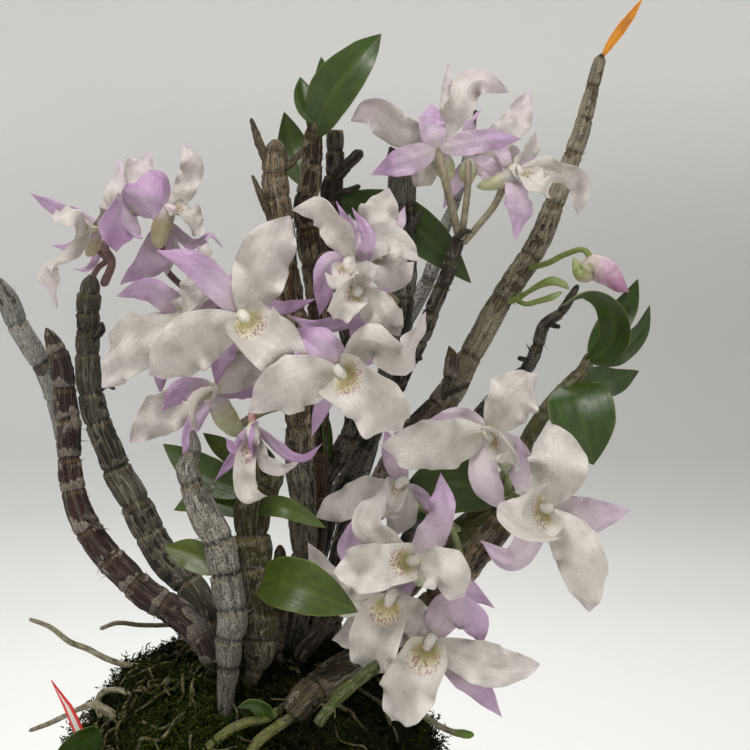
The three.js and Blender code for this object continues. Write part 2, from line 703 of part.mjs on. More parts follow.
    stalk: [[522, 501, -18, 8], [510, 494, -10, 7], [500, 496, -2, 7]],
    blades: [
      petal(54, [558, 464, -33], [550, 424, -29]),
      petal(46, [578, 552, -35], [590, 612, -30]),
      sepal(34, [592, 516, -29], [631, 510, -27]),
      sepal(27, [512, 560, -29], [480, 541, -27]),
      sepal(24, [520, 470, -23], [518, 434, -21]),
      lip(54, [524, 518, -40], [500, 502, -37]),
    ],
  },
  {
    name: 'bloom_lower_upper',
    facing: [-0.35, -0.9, 0.05],
    throat: [414, 560, -34],
    spur: [[414, 560, -32, 15], [418, 574, -28, 16], [422, 586, -26, 10]],
    stalk: [[416, 562, -30, 8], [432, 534, -22, 7], [446, 522, -19, 7], [463, 560, -15, 8]],
    blades: [
      lip(44, [382, 566, -44], [335, 572, -41]),
      sepal(32, [438, 514, -34], [439, 473, -31]),
      petal(28, [386, 544, -40], [367, 524, -40], [387, 484, -36]),
      petal(40, [446, 572, -43], [464, 597, -38]),
      sepal(26, [386, 552, -33], [352, 556, -34], [352, 532, -35], [367, 508, -34]),
      sepal(26, [460, 588, -25], [493, 609, -23]),
    ],
  },
  {
    name: 'bloom_lower_back',
    facing: [-0.15, -0.95, 0.2],
    throat: [402, 486, -22],
    spur: [[402, 486, -20, 13], [408, 498, -16, 13], [416, 508, -14, 8]],
    stalk: [[412, 502, -14, 8], [432, 514, -12, 7], [460, 530, -3, 7]],
    blades: [
      petal(38, [354, 500, -26], [316, 517, -23]),
      sepal(22, [394, 460, -25], [384, 427, -23]),
      petal(28, [402, 516, -21], [388, 534, -19]),
      sepal(18, [372, 516, -18], [358, 530, -17]),
      sepal(18, [424, 500, -16], [434, 516, -15]),
      lip(26, [390, 504, -31], [378, 516, -29]),
    ],
  },
  {
    name: 'bloom_lower_left',
    facing: [-0.15, -0.98, 0.05],
    throat: [392, 598, -28],
    spur: [[392, 598, -26, 14], [404, 600, -22, 14], [414, 604, -19, 8]],
    stalk: [[410, 602, -20, 8], [424, 604, -17, 8], [436, 602, -16, 8]],
    blades: [
      lip(50, [378, 636, -38], [370, 674, -34]),
      petal(34, [363, 631, -31], [332, 640, -28]),
      petal(30, [346, 602, -30], [326, 574, -31], [308, 543, -28]),
      petal(34, [418, 622, -29], [428, 640, -26]),
      sepal(18, [368, 590, -24], [350, 590, -23]),
      sepal(22, [408, 584, -22], [420, 578, -20]),
    ],
  },
  {
    name: 'bloom_lowest',
    facing: [-0.1, -0.98, 0.1],
    throat: [430, 642, -30],
    spur: [[430, 642, -28, 15], [438, 630, -24, 15], [442, 620, -21, 9]],
    stalk: [[440, 626, -22, 8], [446, 616, -19, 8], [444, 604, -16, 8]],
    blades: [
      lip(52, [416, 678, -40], [392, 720, -35]),
      petal(40, [476, 662, -36], [506, 668, -35], [540, 664, -31]),
      sepal(28, [472, 682, -29], [502, 718, -27]),
      sepal(34, [448, 612, -34], [472, 618, -35], [482, 648, -32]),
      petal(28, [406, 632, -29], [388, 646, -27]),
    ],
  },
  {
    name: 'bloom_top_back_turned',
    facing: [-0.1, 0.95, 0.25],
    throat: [437, 148, -12],
    spur: [[438, 150, -10, 17], [444, 166, -6, 22], [450, 180, -6, 15]],
    stalk: [[437, 147, -13, 8], [444, 176, -14, 8], [452, 208, -10, 8], [459, 238, -5, 8]],
    blades: [
      petal(36, [398, 130, -13], [372, 112, -14], [351, 121, -12]),
      sepal(28, [400, 162, -14], [370, 174, -12]),
      sepal(27, [431, 126, -15], [431, 103, -12]),
      petal(14, [447, 104, -10], [448, 64, -8]),
      petal(30, [457, 108, -10], [476, 82, -10], [509, 92, -8]),
      sepal(24, [484, 140, -15], [520, 138, -13]),
      lip(24, [424, 178, -4], [412, 188, 0]),
    ],
  },
  {
    name: 'bloom_top_middle',
    facing: [0.5, 0.85, 0.2],
    throat: [474, 160, -3],
    spur: [[472, 158, -4, 12], [468, 172, -5, 19], [468, 186, -5, 10]],
    stalk: [[468, 160, -7, 7], [468, 184, -9, 7], [465, 212, -8, 7], [461, 240, -5, 8]],
    blades: [
      petal(32, [510, 130, -1], [531, 91, 1]),
      sepal(22, [494, 170, -5], [508, 186, -4]),
      petal(24, [506, 156, 3], [530, 164, 6]),
      sepal(18, [474, 130, 2], [484, 108, 4]),
      sepal(18, [456, 186, 4], [446, 208, 6]),
      lip(24, [500, 148, 8], [518, 146, 12]),
    ],
  },
  {
    name: 'bloom_top_right',
    facing: [0.35, -0.8, -0.2],
    throat: [514, 172, -12],
    spur: [[516, 172, -12, 16], [498, 182, -11, 16], [477, 187, -10, 7]],
    stalk: [[504, 186, -11, 8], [494, 206, -9, 7], [478, 226, -7, 7], [463, 244, -4, 7]],
    blades: [
      sepal(26, [524, 206, -17], [519, 242, -15]),
      petal(26, [552, 170, -17], [578, 184, -17], [578, 215, -14]),
      sepal(15, [505, 150, -13], [497, 127, -12]),
      sepal(14, [542, 166, -8], [562, 174, -6]),
      petal(26, [534, 150, -5], [536, 132, -3]),
      lip(26, [534, 184, -22], [548, 198, -21]),
    ],
  },
];

// Buds, as round limbs on their stalks
const BUDS = [
  {
    name: 'bud_right_large',
    limbs: [
      [[524, 269, 19, 7], [548, 263, 13, 6], [566, 254, 10, 6], [584, 250, 8, 6], [594, 266, 6, 8]],
      [[574, 258, 8, 8], [582, 275, 6, 15], [594, 268, 6, 27], [608, 274, 5, 26], [620, 286, 4, 15],
        [629, 292, 4, 4]],
    ],
  },
  {
    name: 'buds_right_small',
    limbs: [
      [[504, 302, 17, 7], [516, 299, 15, 7], [528, 292, 12, 5], [540, 285, 10, 7], [553, 281, 9, 10],
        [563, 284, 9, 8], [569, 289, 9, 4]],
      [[515, 299, 15, 6], [526, 304, 12, 5], [539, 301, 11, 6], [552, 297, 10, 7], [562, 292, 10, 4]],
    ],
  },
];

// Loose leaves low on the moss, each with a short stalk in it
const LOW_LEAVES = [
  {
    name: 'leaf_low_front',
    leaf: leafOf(17, 0, [266, 726, -40], [262, 709, -44.5], [251, 704, -45.5], [237, 708, -45.5]),
  },
  {
    name: 'leaf_low_left',
    leaf: leafOf(30, 0, [98, 752, -34], [84, 738, -38], [72, 740, -42], [54, 756, -44]),
  },
];

// The blank card label leaning on the moss
const LABEL_OUTLINE = {
  tip: [51, 680],
  rightShoulder: [72, 706],
  rightFoot: [98, 752],
  leftFoot: [84, 754],
  leftShoulder: [63, 706],
};
const LABEL_DEPTH = -34;

// The pot

function potSolid() {
  const bandFoot = POT_HEIGHT - RIM_BAND_HEIGHT;
  const bodyRadius = POT_RIM_RADIUS - RIM_BAND_PROUD;
  const foot = 1.2;
  const profile = [
    [0, 0],
    [POT_FOOT_RADIUS - foot, 0],
    [POT_FOOT_RADIUS, foot],
    [bodyRadius, bandFoot - 2],
    [POT_RIM_RADIUS, bandFoot],
    [POT_RIM_RADIUS, POT_HEIGHT - foot],
    [POT_RIM_RADIUS - foot, POT_HEIGHT],
    [innerRadius(POT_HEIGHT), POT_HEIGHT],
    [innerRadius(POT_FLOOR), POT_FLOOR],
    [0, POT_FLOOR],
  ];
  const outline = profile.map(([radius, height]) => new THREE.Vector2(radius, height));
  const lathe = new THREE.LatheGeometry(outline, ROUND_SIDES);
  lathe.rotateX(Math.PI / 2);
  let pot = solidOf(lathe);
  for (let k = 0; k < DRAIN_COUNT; k += 1) {
    const angle = 2 * Math.PI * k / DRAIN_COUNT;
    const drain = new THREE.CylinderGeometry(DRAIN_RADIUS, DRAIN_RADIUS, 3 * POT_FLOOR, DRAIN_SIDES);
    drain.rotateX(Math.PI / 2);
    drain.translate(
      DRAIN_CIRCLE_RADIUS * Math.cos(angle),
      DRAIN_CIRCLE_RADIUS * Math.sin(angle),
      POT_FLOOR / 2,
    );
    pot = pot.subtract(solidOf(drain));
  }
  return pot;
}

function innerRadius(height) {
  const bodyRadius = POT_RIM_RADIUS - RIM_BAND_PROUD;
  const share = height / POT_HEIGHT;
  return THREE.MathUtils.lerp(POT_FOOT_RADIUS, bodyRadius, share) - POT_WALL;
}

// The moss that fills the pot and stands over its rim as a lumpy mound

const MOUND = [
  [innerRadius(POT_FLOOR) - CLEARANCE, POT_FLOOR + CLEARANCE],
  [innerRadius(POT_HEIGHT) - CLEARANCE, POT_HEIGHT + CLEARANCE],
  [52, 103],
  [50.5, 109],
  [45.5, 117],
  [38.5, 125.5],
  [31, 130],
  [22, 133.5],
  [11, 136],
];
const MOUND_TOP = 136.5;
const LUMP = 1.4;

function lumpAt(angle, radius) {
  const around = Math.sin(5 * angle + 0.1 * radius) + Math.sin(9 * angle - 0.23 * radius + 1.3);
  return LUMP / 2 * (around + Math.sin(0.4 * radius + 2 * angle));
}

function mossSolid() {
  const points = [new THREE.Vector3(0, 0, POT_FLOOR + CLEARANCE)];
  MOUND.forEach(([radius, height], ring) => {
    for (let k = 0; k < ROUND_SIDES; k += 1) {
      const angle = 2 * Math.PI * k / ROUND_SIDES;
      const lump = ring < 2 ? 0 : lumpAt(angle, radius);
      const reach = radius + lump * radius / 50;
      const lift = lump * (1 - radius / 60);
      points.push(new THREE.Vector3(reach * Math.cos(angle), reach * Math.sin(angle), height + lift));
    }
  });
  points.push(new THREE.Vector3(0, 0, MOUND_TOP));
  const triangles = [];
  const at = (ring, k) => 1 + ring * ROUND_SIDES + k % ROUND_SIDES;
  for (let k = 0; k < ROUND_SIDES; k += 1) {
    triangles.push([0, at(0, k + 1), at(0, k)]);
    triangles.push([points.length - 1, at(MOUND.length - 1, k), at(MOUND.length - 1, k + 1)]);
    for (let ring = 0; ring + 1 < MOUND.length; ring += 1) {
      triangles.push([at(ring, k), at(ring, k + 1), at(ring + 1, k + 1)]);
      triangles.push([at(ring, k), at(ring + 1, k + 1), at(ring + 1, k)]);
    }
  }
  return closedSolid(points, triangles);
}

function labelSolid(grow) {
  const down = new THREE.Vector3(0.35, 0, -0.94).multiplyScalar(LABEL_SINK);
  const place = ([across, below]) => seen([across, below, LABEL_DEPTH]);
  const { tip, rightShoulder, rightFoot, leftFoot, leftShoulder } = LABEL_OUTLINE;
  const corners = [
    place(tip),
    place(rightShoulder),
    place(rightFoot).add(down),
    place(leftFoot).add(down),
    place(leftShoulder),
  ];
  const middle = corners.reduce((sum, corner) => sum.add(corner), new THREE.Vector3())
    .divideScalar(corners.length);
  const shape = new THREE.Shape(corners.map((corner) => {
    const out = corner.clone().sub(middle).setLength(grow);
    return new THREE.Vector2(corner.x + out.x, corner.z + out.z);
  }));
  const thickness = LABEL_THICKNESS + 2 * grow;
  const card = new THREE.ExtrudeGeometry(shape, { depth: thickness, bevelEnabled: false });
  card.rotateX(Math.PI / 2);
  card.translate(0, LABEL_DEPTH + thickness / 2, 0);
  return solidOf(card);
}

// Each sub-part is made twice: at its own size, and grown by the clearance as a keep-out

const STEPS = { sepal: 3, petal: 4, lip: 3, leaf: 4 };

function leafSolid(leaf, grow) {
  return blade('leaf', leaf, new THREE.Vector3(0, -0.95, 0.3), STEPS.leaf, grow);
}

function caneSolid({ rows, stubs, leaves = [] }, grow) {
  const stem = limb(rows, { sides: 6, steps: rows.length - 2, swell: 0.05, grow });
  const stumps = stubs.map((stub) => limb(stub, { sides: 4, steps: stub.length - 1, grow }));
  return joined([stem, ...stumps, ...leaves.map((leaf) => leafSolid(leaf, grow))]);
}

function bloomSolid({ facing, throat, spur, stalk, blades }, grow) {
  const outlook = new THREE.Vector3(...facing).normalize();
  const [across, down, depth] = throat;
  const front = [across, down, depth - HEART_DEPTH, 11];
  const rear = [across, down, depth + HEART_DEPTH, 11];
  const heart = limb([front, [...throat, 17], rear], { sides: 4, steps: 2, grow });
  const back = limb(spur, { sides: 4, steps: 2, grow });
  const stem = limb(stalk, { sides: 3, steps: stalk.length - 1, grow });
  const tepals = blades.map(({ kind, width, rows }) => (
    blade(kind, { width, rows: [throat, ...rows] }, outlook, STEPS[kind], grow)
  ));
  return joined([heart, back, stem, ...tepals]);
}

function budSolid({ limbs }, grow) {
  return joined(limbs.map((rows) => limb(rows, { sides: 6, steps: rows.length, grow })));
}

const COLOURS = {
  pot: { color: 0x3a3d40, roughness: 0.35 },
  moss: { color: 0x2c3a18, roughness: 1 },
  cane: { color: 0x8d8577, roughness: 0.8 },
  root: { color: 0xa9a184, roughness: 0.8 },
  bloom: { color: 0xf1e6f3, roughness: 0.5 },
  bud: { color: 0xd9a9c6, roughness: 0.5 },
  leaf: { color: 0x3f6a26, roughness: 0.45 },
  label: { color: 0xd8d4cc, roughness: 0.5 },
};

const planned = [
  ...CANES.map((row) => ({ row, make: caneSolid, look: 'cane' })),
  ...BLOOMS.map((row) => ({ row, make: bloomSolid, look: 'bloom' })),
  ...BUDS.map((row) => ({ row, make: budSolid, look: 'bud' })),
  ...ROOTS.map((row) => ({
    row,
    make: ({ rows }, grow) => limb(rows, { sides: 5, steps: rows.length - 1, grow }),
    look: 'root',
  })),
  ...LOW_LEAVES.map((row) => ({ row, make: ({ leaf }, grow) => leafSolid(leaf, grow), look: 'leaf' })),
  { row: { name: 'plant_label' }, make: (row, grow) => labelSolid(grow), look: 'label' },
];

// Later sub-parts give way to earlier ones, and the moss has a hole for each stem
const placed = [];
for (const { row, make, look } of planned) {
  const own = make(row, 0);
  const cleared = placed
    .filter(({ keepOut }) => boxesMeet(own, keepOut))
    .reduce((left, { keepOut }) => left.subtract(keepOut), own);
  placed.push({ name: row.name, look, solid: largestBody(cleared), keepOut: make(row, CLEARANCE) });
}
const moss = placed.reduce((left, { keepOut }) => left.subtract(keepOut), mossSolid());
placed.push({ name: 'moss_mound', look: 'moss', solid: largestBody(moss) });
placed.push({ name: 'pot', look: 'pot', solid: potSolid() });

const plant = new THREE.Group();
for (const { name, look, solid } of placed) {
  const material = new THREE.MeshStandardMaterial({ ...COLOURS[look], metalness: 0 });
  const mesh = new THREE.Mesh(geometryOf(solid), material);
  mesh.name = name;
  plant.add(mesh);
}

export default plant;
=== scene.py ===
# The looks of a moss-grown pot of Dendrobium moniliforme in flower. Every fine piece follows the
# line of a plain solid: places are points of the 750 pixel view with a depth in millimetres.

import math

import bmesh
import bpy
import numpy as np
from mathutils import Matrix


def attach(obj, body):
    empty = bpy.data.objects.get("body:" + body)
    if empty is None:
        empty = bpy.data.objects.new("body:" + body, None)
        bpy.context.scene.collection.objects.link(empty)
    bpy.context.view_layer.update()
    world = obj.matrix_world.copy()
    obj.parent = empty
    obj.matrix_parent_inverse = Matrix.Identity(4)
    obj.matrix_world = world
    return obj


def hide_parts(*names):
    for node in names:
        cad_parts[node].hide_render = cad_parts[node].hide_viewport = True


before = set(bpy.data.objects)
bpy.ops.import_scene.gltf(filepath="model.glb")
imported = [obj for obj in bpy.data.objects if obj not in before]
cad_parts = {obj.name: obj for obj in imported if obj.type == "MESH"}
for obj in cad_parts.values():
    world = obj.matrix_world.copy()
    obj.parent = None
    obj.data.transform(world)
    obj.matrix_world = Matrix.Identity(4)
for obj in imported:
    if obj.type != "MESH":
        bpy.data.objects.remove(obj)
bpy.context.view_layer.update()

MM = 0.001
PHOTO_SIDE = 750
FRAME_WIDTH = 217.5
EYE_DISTANCE = 420
EYE_ACROSS = 34.8
EYE_HEIGHT = 212.65
PIXEL = FRAME_WIDTH / PHOTO_SIDE
GAMMA = 2.2
POT_HEIGHT = 100
POT_RIM_RADIUS = 58
POT_FOOT_RADIUS = 43
POT_WALL = 4
POT_FLOOR = 6
RIM_BAND_HEIGHT = 9
RIM_BAND_PROUD = 2.5
DRAIN_RADIUS = 5
DRAIN_CIRCLE_RADIUS = 22
CLEARANCE = 0.3

# Where the canes, roots, blooms, buds and loose leaves run: across, down, depth and width

CANES = {
    "cane_left_outer": {
        "rows": [
            (-25, 262, 4, 8), (-10, 281, 4, 19), (7, 300, 4, 20), (18, 325, 5, 20), (33, 350, 7, 20),
            (48, 375, 10, 20), (60, 412, 12, 19), (68, 454, 12, 19), (78, 506, 12, 18), (103, 558, 11, 18),
            (140, 590, 9, 17), (180, 622, 7, 16), (203, 652, 6, 15), (208, 682, 6, 13),
        ],
    },
    "cane_left_dark": {
        "rows": [
            (46, 328, -12, 4), (51, 338, -12, 12), (56, 349, -12, 18), (63, 370, -12, 20), (65, 398, -12, 21),
            (69, 426, -13, 22), (69, 454, -14, 21), (72, 482, -15, 22), (80, 512, -16, 24), (98, 545, -17, 26),
            (125, 574, -18, 27), (147, 594, -19, 27), (169, 608, -20, 27), (191, 626, -22, 26), (208, 651, -24, 22),
            (216, 672, -24, 18), (220, 700, -24, 15),
        ],
        "stubs": [[(84, 514, -18, 8), (97, 520, -22, 7)]],
    },
    "cane_left_grey": {
        "rows": [
            (92, 275, -5, 14), (89, 297, -5, 21), (88, 329, -5, 21), (88, 370, -5, 22), (93, 405, -5, 24),
            (102, 433, -5, 25), (111, 454, -6, 26), (119, 475, -6, 27), (132, 496, -7, 28), (143, 520, -7, 29),
            (166, 560, -8, 30), (183, 578, -8, 29), (198, 597, -9, 27), (210, 619, -9, 23), (217, 640, -10, 19),
            (222, 672, -10, 16),
        ],
        "stubs": [
            [(90, 338, -5, 8), (101, 331, -11, 8), (102, 322, -13, 4)],
            [(95, 392, -6, 6), (107, 386, -10, 4), (118, 378, -12, 4), (122, 369, -12, 3)],
            [(107, 386, -10, 3), (115, 389, -12, 3)],
        ],
    },
    "cane_front_speckled": {
        "rows": [
            (192, 430, -38, 4), (195, 449, -38, 10), (187, 467, -38, 18), (191, 482, -38, 20), (198, 499, -38, 24),
            (206, 518, -38, 26), (218, 539, -38, 27), (223, 559, -38, 26), (226, 577, -38, 26), (228, 592, -38, 26),
            (232, 611, -38, 25), (232, 624, -38, 24), (229, 639, -38, 23), (229, 656, -38, 20), (228, 672, -38, 18),
            (226, 690, -38, 14), (225, 718, -38, 12),
        ],
        "stubs": [[(199, 500, -40, 11), (207, 493, -42, 9), (215, 484, -42, 6)]],
        "leaves": [(30, 0, [(222, 572, -36), (195, 556, -32), (164, 547, -28)])],
    },
    "cane_front_olive": {
        "rows": [
            (262, 446, -25, 18), (262, 460, -25, 28), (265, 486, -25, 30), (254, 501, -26, 29), (252, 520, -26, 30),
            (252, 536, -26, 31), (253, 552, -26, 31), (253, 570, -27, 31), (256, 589, -27, 31), (260, 610, -28, 31),
            (261, 626, -28, 30), (261, 640, -28, 28), (259, 656, -29, 24), (254, 671, -30, 14), (249, 684, -30, 11),
            (247, 712, -30, 11),
        ],
        "leaves": [
            (36, 0, [(252, 494, -24), (205, 474, -20), (163, 444, -17)]),
            (22, 0, [(256, 470, -22), (228, 452, -19), (203, 433, -17)]),
            (30, 0, [(248, 514, -24), (210, 497, -21), (174, 510, -18)]),
            (20, 0, [(252, 508, -27), (285, 508, -37), (326, 528, -36)]),
            (50, 0, [(255, 576, -28), (302, 588, -41), (358, 612, -42)]),
        ],
    },
    "cane_front_slender": {
        "rows": [
            (280, 545, -20, 7), (280, 562, -20, 12), (279, 590, -20, 13), (278, 620, -21, 13), (275, 655, -22, 13),
            (271, 688, -22, 12), (270, 706, -22, 11),
        ],
    },
    "cane_tall_tan": {
        "rows": [
            (276, 140, -12, 19), (275, 167, -12, 23), (276, 191, -12, 24), (280, 215, -12, 23), (283, 250, -11, 24),
            (287, 288, -10, 26), (294, 330, -9, 27), (299, 370, -8, 26), (300, 425, -8, 26), (299, 469, -8, 25),
            (303, 495, -8, 24), (302, 520, -8, 24), (304, 552, -8, 23), (300, 600, -8, 21), (291, 655, -8, 19),
            (288, 682, -8, 17),
        ],
        "stubs": [
            [(271, 172, -13, 9), (260, 145, -14, 9), (251, 118, -14, 4)],
            [(272, 222, -14, 8), (261, 196, -16, 7), (252, 175, -16, 3)],
            [(285, 170, -13, 8), (296, 158, -14, 7), (303, 149, -14, 3)],
        ],
    },
    "cane_tall_leafy": {
        "rows": [
            (321, 105, -8, 8), (316, 124, -7, 15), (313, 140, -6, 18), (312, 159, -5, 20), (310, 183, -4, 20),
            (304, 207, -3, 21), (309, 228, -1, 26), (315, 256, 1, 30), (319, 285, 3, 26), (320, 330, 4, 23),
            (318, 400, 5, 22), (317, 470, 5, 21), (316, 540, 5, 20), (310, 600, 5, 19), (301, 655, 4, 17),
            (298, 680, 4, 16),
        ],
        "leaves": [
            (46, -6, [(313, 138, -7), (331, 95, -14), (358, 60, -16), (381, 34, -13)]),
            (24, 8, [(318, 114, -7), (324, 84, 0), (321, 57, 2)]),
            (22, 0, [(315, 124, -9), (306, 104, -9), (300, 77, -6)]),
            (36, 0, [(309, 188, -4), (294, 150, 5), (284, 112, 4)]),
        ],
    },
    "cane_short_cut": {
        "rows": [
            (335, 131, 4, 15), (335, 152, 4, 16), (335, 175, 4, 17), (331, 191, 4, 20), (334, 225, 6, 20),
            (340, 270, 9, 19), (348, 330, 11, 18), (354, 385, 12, 18), (353, 425, 12, 18), (340, 454, 12, 19),
            (329, 471, 12, 19), (319, 496, 12, 18), (308, 540, 12, 18), (290, 600, 12, 17), (276, 655, 11, 15),
            (272, 680, 11, 14),
        ],
        "stubs": [
            [(336, 178, 2, 12), (349, 163, -1, 12), (362, 151, -3, 11)],
            [(334, 194, 3, 7), (347, 191, 0, 7), (360, 186, -4, 5)],
        ],
        "leaves": [
            (46, 12, [(334, 200, 5), (395, 216, 3), (436, 246, 1), (471, 283, 2)]),
            (26, 65, [(328, 474, 11), (326, 440, 5), (322, 400, 3)]),
        ],
    },
    "cane_centre_grey": {
        "rows": [
            (390, 147, 2, 7), (395, 158, 2, 18), (401, 172, 2, 24), (402, 199, 2, 25), (404, 240, 3, 24),
            (403, 295, 7, 23), (400, 320, 9, 21), (387, 375, 15, 19), (371, 434, 19, 18), (361, 451, 20, 18),
            (351, 471, 20, 18), (338, 496, 20, 18), (329, 518, 20, 18), (318, 555, 20, 18), (303, 610, 20, 17),
            (291, 655, 20, 16), (287, 682, 20, 15),
        ],
        "stubs": [[(404, 234, 2, 8), (418, 219, -3, 9), (420, 210, -5, 4)]],
    },
    "cane_thin_twig": {
        "rows": [
            (459, 235, -4, 12), (453, 254, -3, 13), (446, 277, -1, 14), (435, 303, 2, 14), (424, 332, 6, 15),
            (413, 352, 9, 16), (401, 379, 15, 15), (388, 405, 22, 15), (370, 440, 28, 15), (352, 490, 29, 15),
            (336, 560, 29, 15), (316, 650, 28, 14), (312, 680, 28, 13),
        ],
        "stubs": [
            [(458, 238, -6, 6), (466, 231, -9, 6), (472, 232, -9, 3)], [(443, 285, -1, 8), (450, 281, -5, 7)],
            [(411, 357, 9, 8), (421, 358, 4, 7)],
        ],
    },
    "cane_long_right": {
        "rows": [
            (643, -2, 22, 3), (630, 16, 22, 12), (612, 40, 23, 13), (602, 54, 24, 10), (597, 70, 24, 12),
            (589, 102, 24, 14), (580, 135, 24, 17), (571, 160, 23, 18), (562, 185, 23, 18), (554, 204, 22, 20),
            (543, 233, 21, 22), (529, 259, 20, 23), (512, 284, 19, 23), (496, 309, 18, 23), (480, 338, 17, 23),
            (466, 363, 16, 23), (453, 393, 15, 22), (434, 420, 14, 20), (398, 455, 14, 20), (372, 500, 14, 20),
            (352, 560, 14, 19), (336, 610, 14, 18), (329, 652, 14, 17), (327, 682, 14, 16),
        ],
    },
    "cane_dry_bract": {
        "rows": [
            (449, 346, 2, 4), (452, 358, 2, 13), (449, 382, 2, 14), (442, 396, 1, 17), (431, 409, 0, 18),
            (421, 419, -1, 18), (411, 427, -2, 16), (390, 458, -6, 15), (362, 520, -10, 16), (342, 585, -14, 17),
            (322, 627, -17, 17), (301, 655, -19, 15), (292, 672, -20, 13), (288, 694, -20, 12),
        ],
        "stubs": [[(447, 393, -1, 9), (458, 389, -4, 8), (470, 383, -6, 4)]],
    },
    "cane_thin_grey": {
        "rows": [
            (578, 285, 34, 7), (561, 312, 33, 10), (544, 326, 32, 11), (537, 348, 32, 12), (527, 368, 31, 12),
            (510, 381, 30, 12), (489, 403, 30, 13), (471, 425, 30, 13), (446, 465, 29, 13), (416, 520, 28, 13),
            (382, 590, 27, 13), (352, 650, 26, 12), (346, 680, 26, 11),
        ],
        "stubs": [[(546, 324, 32, 6), (560, 327, 28, 5)], [(531, 361, 31, 6), (518, 358, 28, 5)]],
    },
    "cane_leafy_right": {
        "rows": [
            (592, 352, 0, 9), (583, 371, 0, 13), (567, 387, 0, 14), (545, 412, 1, 14), (530, 435, 1, 15),
            (512, 470, 1, 19), (493, 507, 0, 24), (466, 528, 0, 26), (440, 549, 0, 25), (412, 582, 1, 22),
            (382, 622, 3, 19), (358, 655, 4, 17), (353, 684, 4, 15),
        ],
        "leaves": [
            (34, 20, [(588, 361, -1), (614, 340, -8), (611, 308, -14), (588, 293, -18), (559, 307, -18)]),
            (32, -10, [(590, 360, 1), (613, 326, 7), (628, 304, 8), (638, 279, 6)]),
            (24, 10, [(589, 362, 1), (620, 352, 11), (640, 332, 12), (650, 305, 10)]),
            (32, 15, [(578, 377, 1), (610, 382, 8), (639, 371, 8)]),
            (64, 0, [(568, 386, -1), (578, 400, -9), (586, 430, -13), (593, 465, -12)]),
            (56, 0, [(496, 500, -3), (456, 484, -10), (425, 496, -11), (399, 523, -8)]),
        ],
    },
    "cane_back_pale": {
        "rows": [
            (476, 110, 40, 5), (470, 140, 40, 7), (457, 197, 40, 9), (444, 230, 39, 12), (430, 275, 39, 15),
            (419, 297, 38, 15), (405, 325, 38, 15), (385, 400, 38, 14), (361, 480, 37, 14), (338, 560, 37, 14),
            (322, 645, 36, 13), (318, 676, 36, 12),
        ],
    },
    "cane_cut_right": {
        "rows": [
            (502, 524, -14, 24), (484, 545, -14, 26), (465, 567, -14, 26), (430, 607, -16, 27), (402, 636, -19, 29),
            (384, 650, -21, 31), (346, 670, -27, 32), (308, 696, -34, 29), (290, 716, -38, 22),
        ],
    },
    "young_shoot": {
        "rows": [
            (398, 642, -34, 4), (388, 655, -35, 9), (366, 674, -39, 10), (342, 694, -43, 10), (326, 712, -45, 8),
            (318, 724, -45, 8),
        ],
    },
}
ROOTS = {
    "root_left_long": [
        (29, 619, -4, 4), (50, 627, -4, 5), (70, 642, -5, 6), (88, 649, -5, 6), (105, 658, -6, 6),
        (122, 664, -7, 6), (141, 668, -9, 6), (160, 690, -12, 6),
    ],
    "root_left_back": [
        (100, 629, 16, 4), (117, 623, 16, 5), (140, 625, 17, 5), (166, 625, 19, 5), (194, 622, 22, 5),
        (216, 640, 24, 5), (226, 668, 24, 5),
    ],
    "root_left_low": [
        (29, 731, -16, 4), (50, 723, -18, 5), (67, 715, -20, 5), (79, 709, -21, 5), (94, 705, -22, 8),
        (112, 714, -23, 8), (134, 738, -24, 8),
    ],
    "root_left_loop": [
        (116, 722, -18, 6), (101, 716, -17, 6), (98, 704, -16, 6), (101, 694, -16, 6), (118, 690, -18, 6),
        (134, 698, -20, 6), (140, 716, -20, 6),
    ],
    "root_right": [
        (474, 735, -10, 6), (464, 734, -10, 9), (450, 731, -10, 6), (432, 722, -10, 6), (412, 711, -10, 6),
        (396, 716, -10, 6),
    ],
    "root_front_upper": [
        (296, 696, -29, 8), (282, 709, -36, 9), (266, 718, -41.5, 9), (239, 725, -44.4, 9), (214, 742, -46, 9),
        (200, 760, -45.5, 8),
    ],
    "root_front_lower": [
        (314, 698, -26, 8), (300, 712, -34, 10), (278, 726, -42, 10), (258, 742, -46, 10), (240, 766, -47.5, 8),
    ],
}
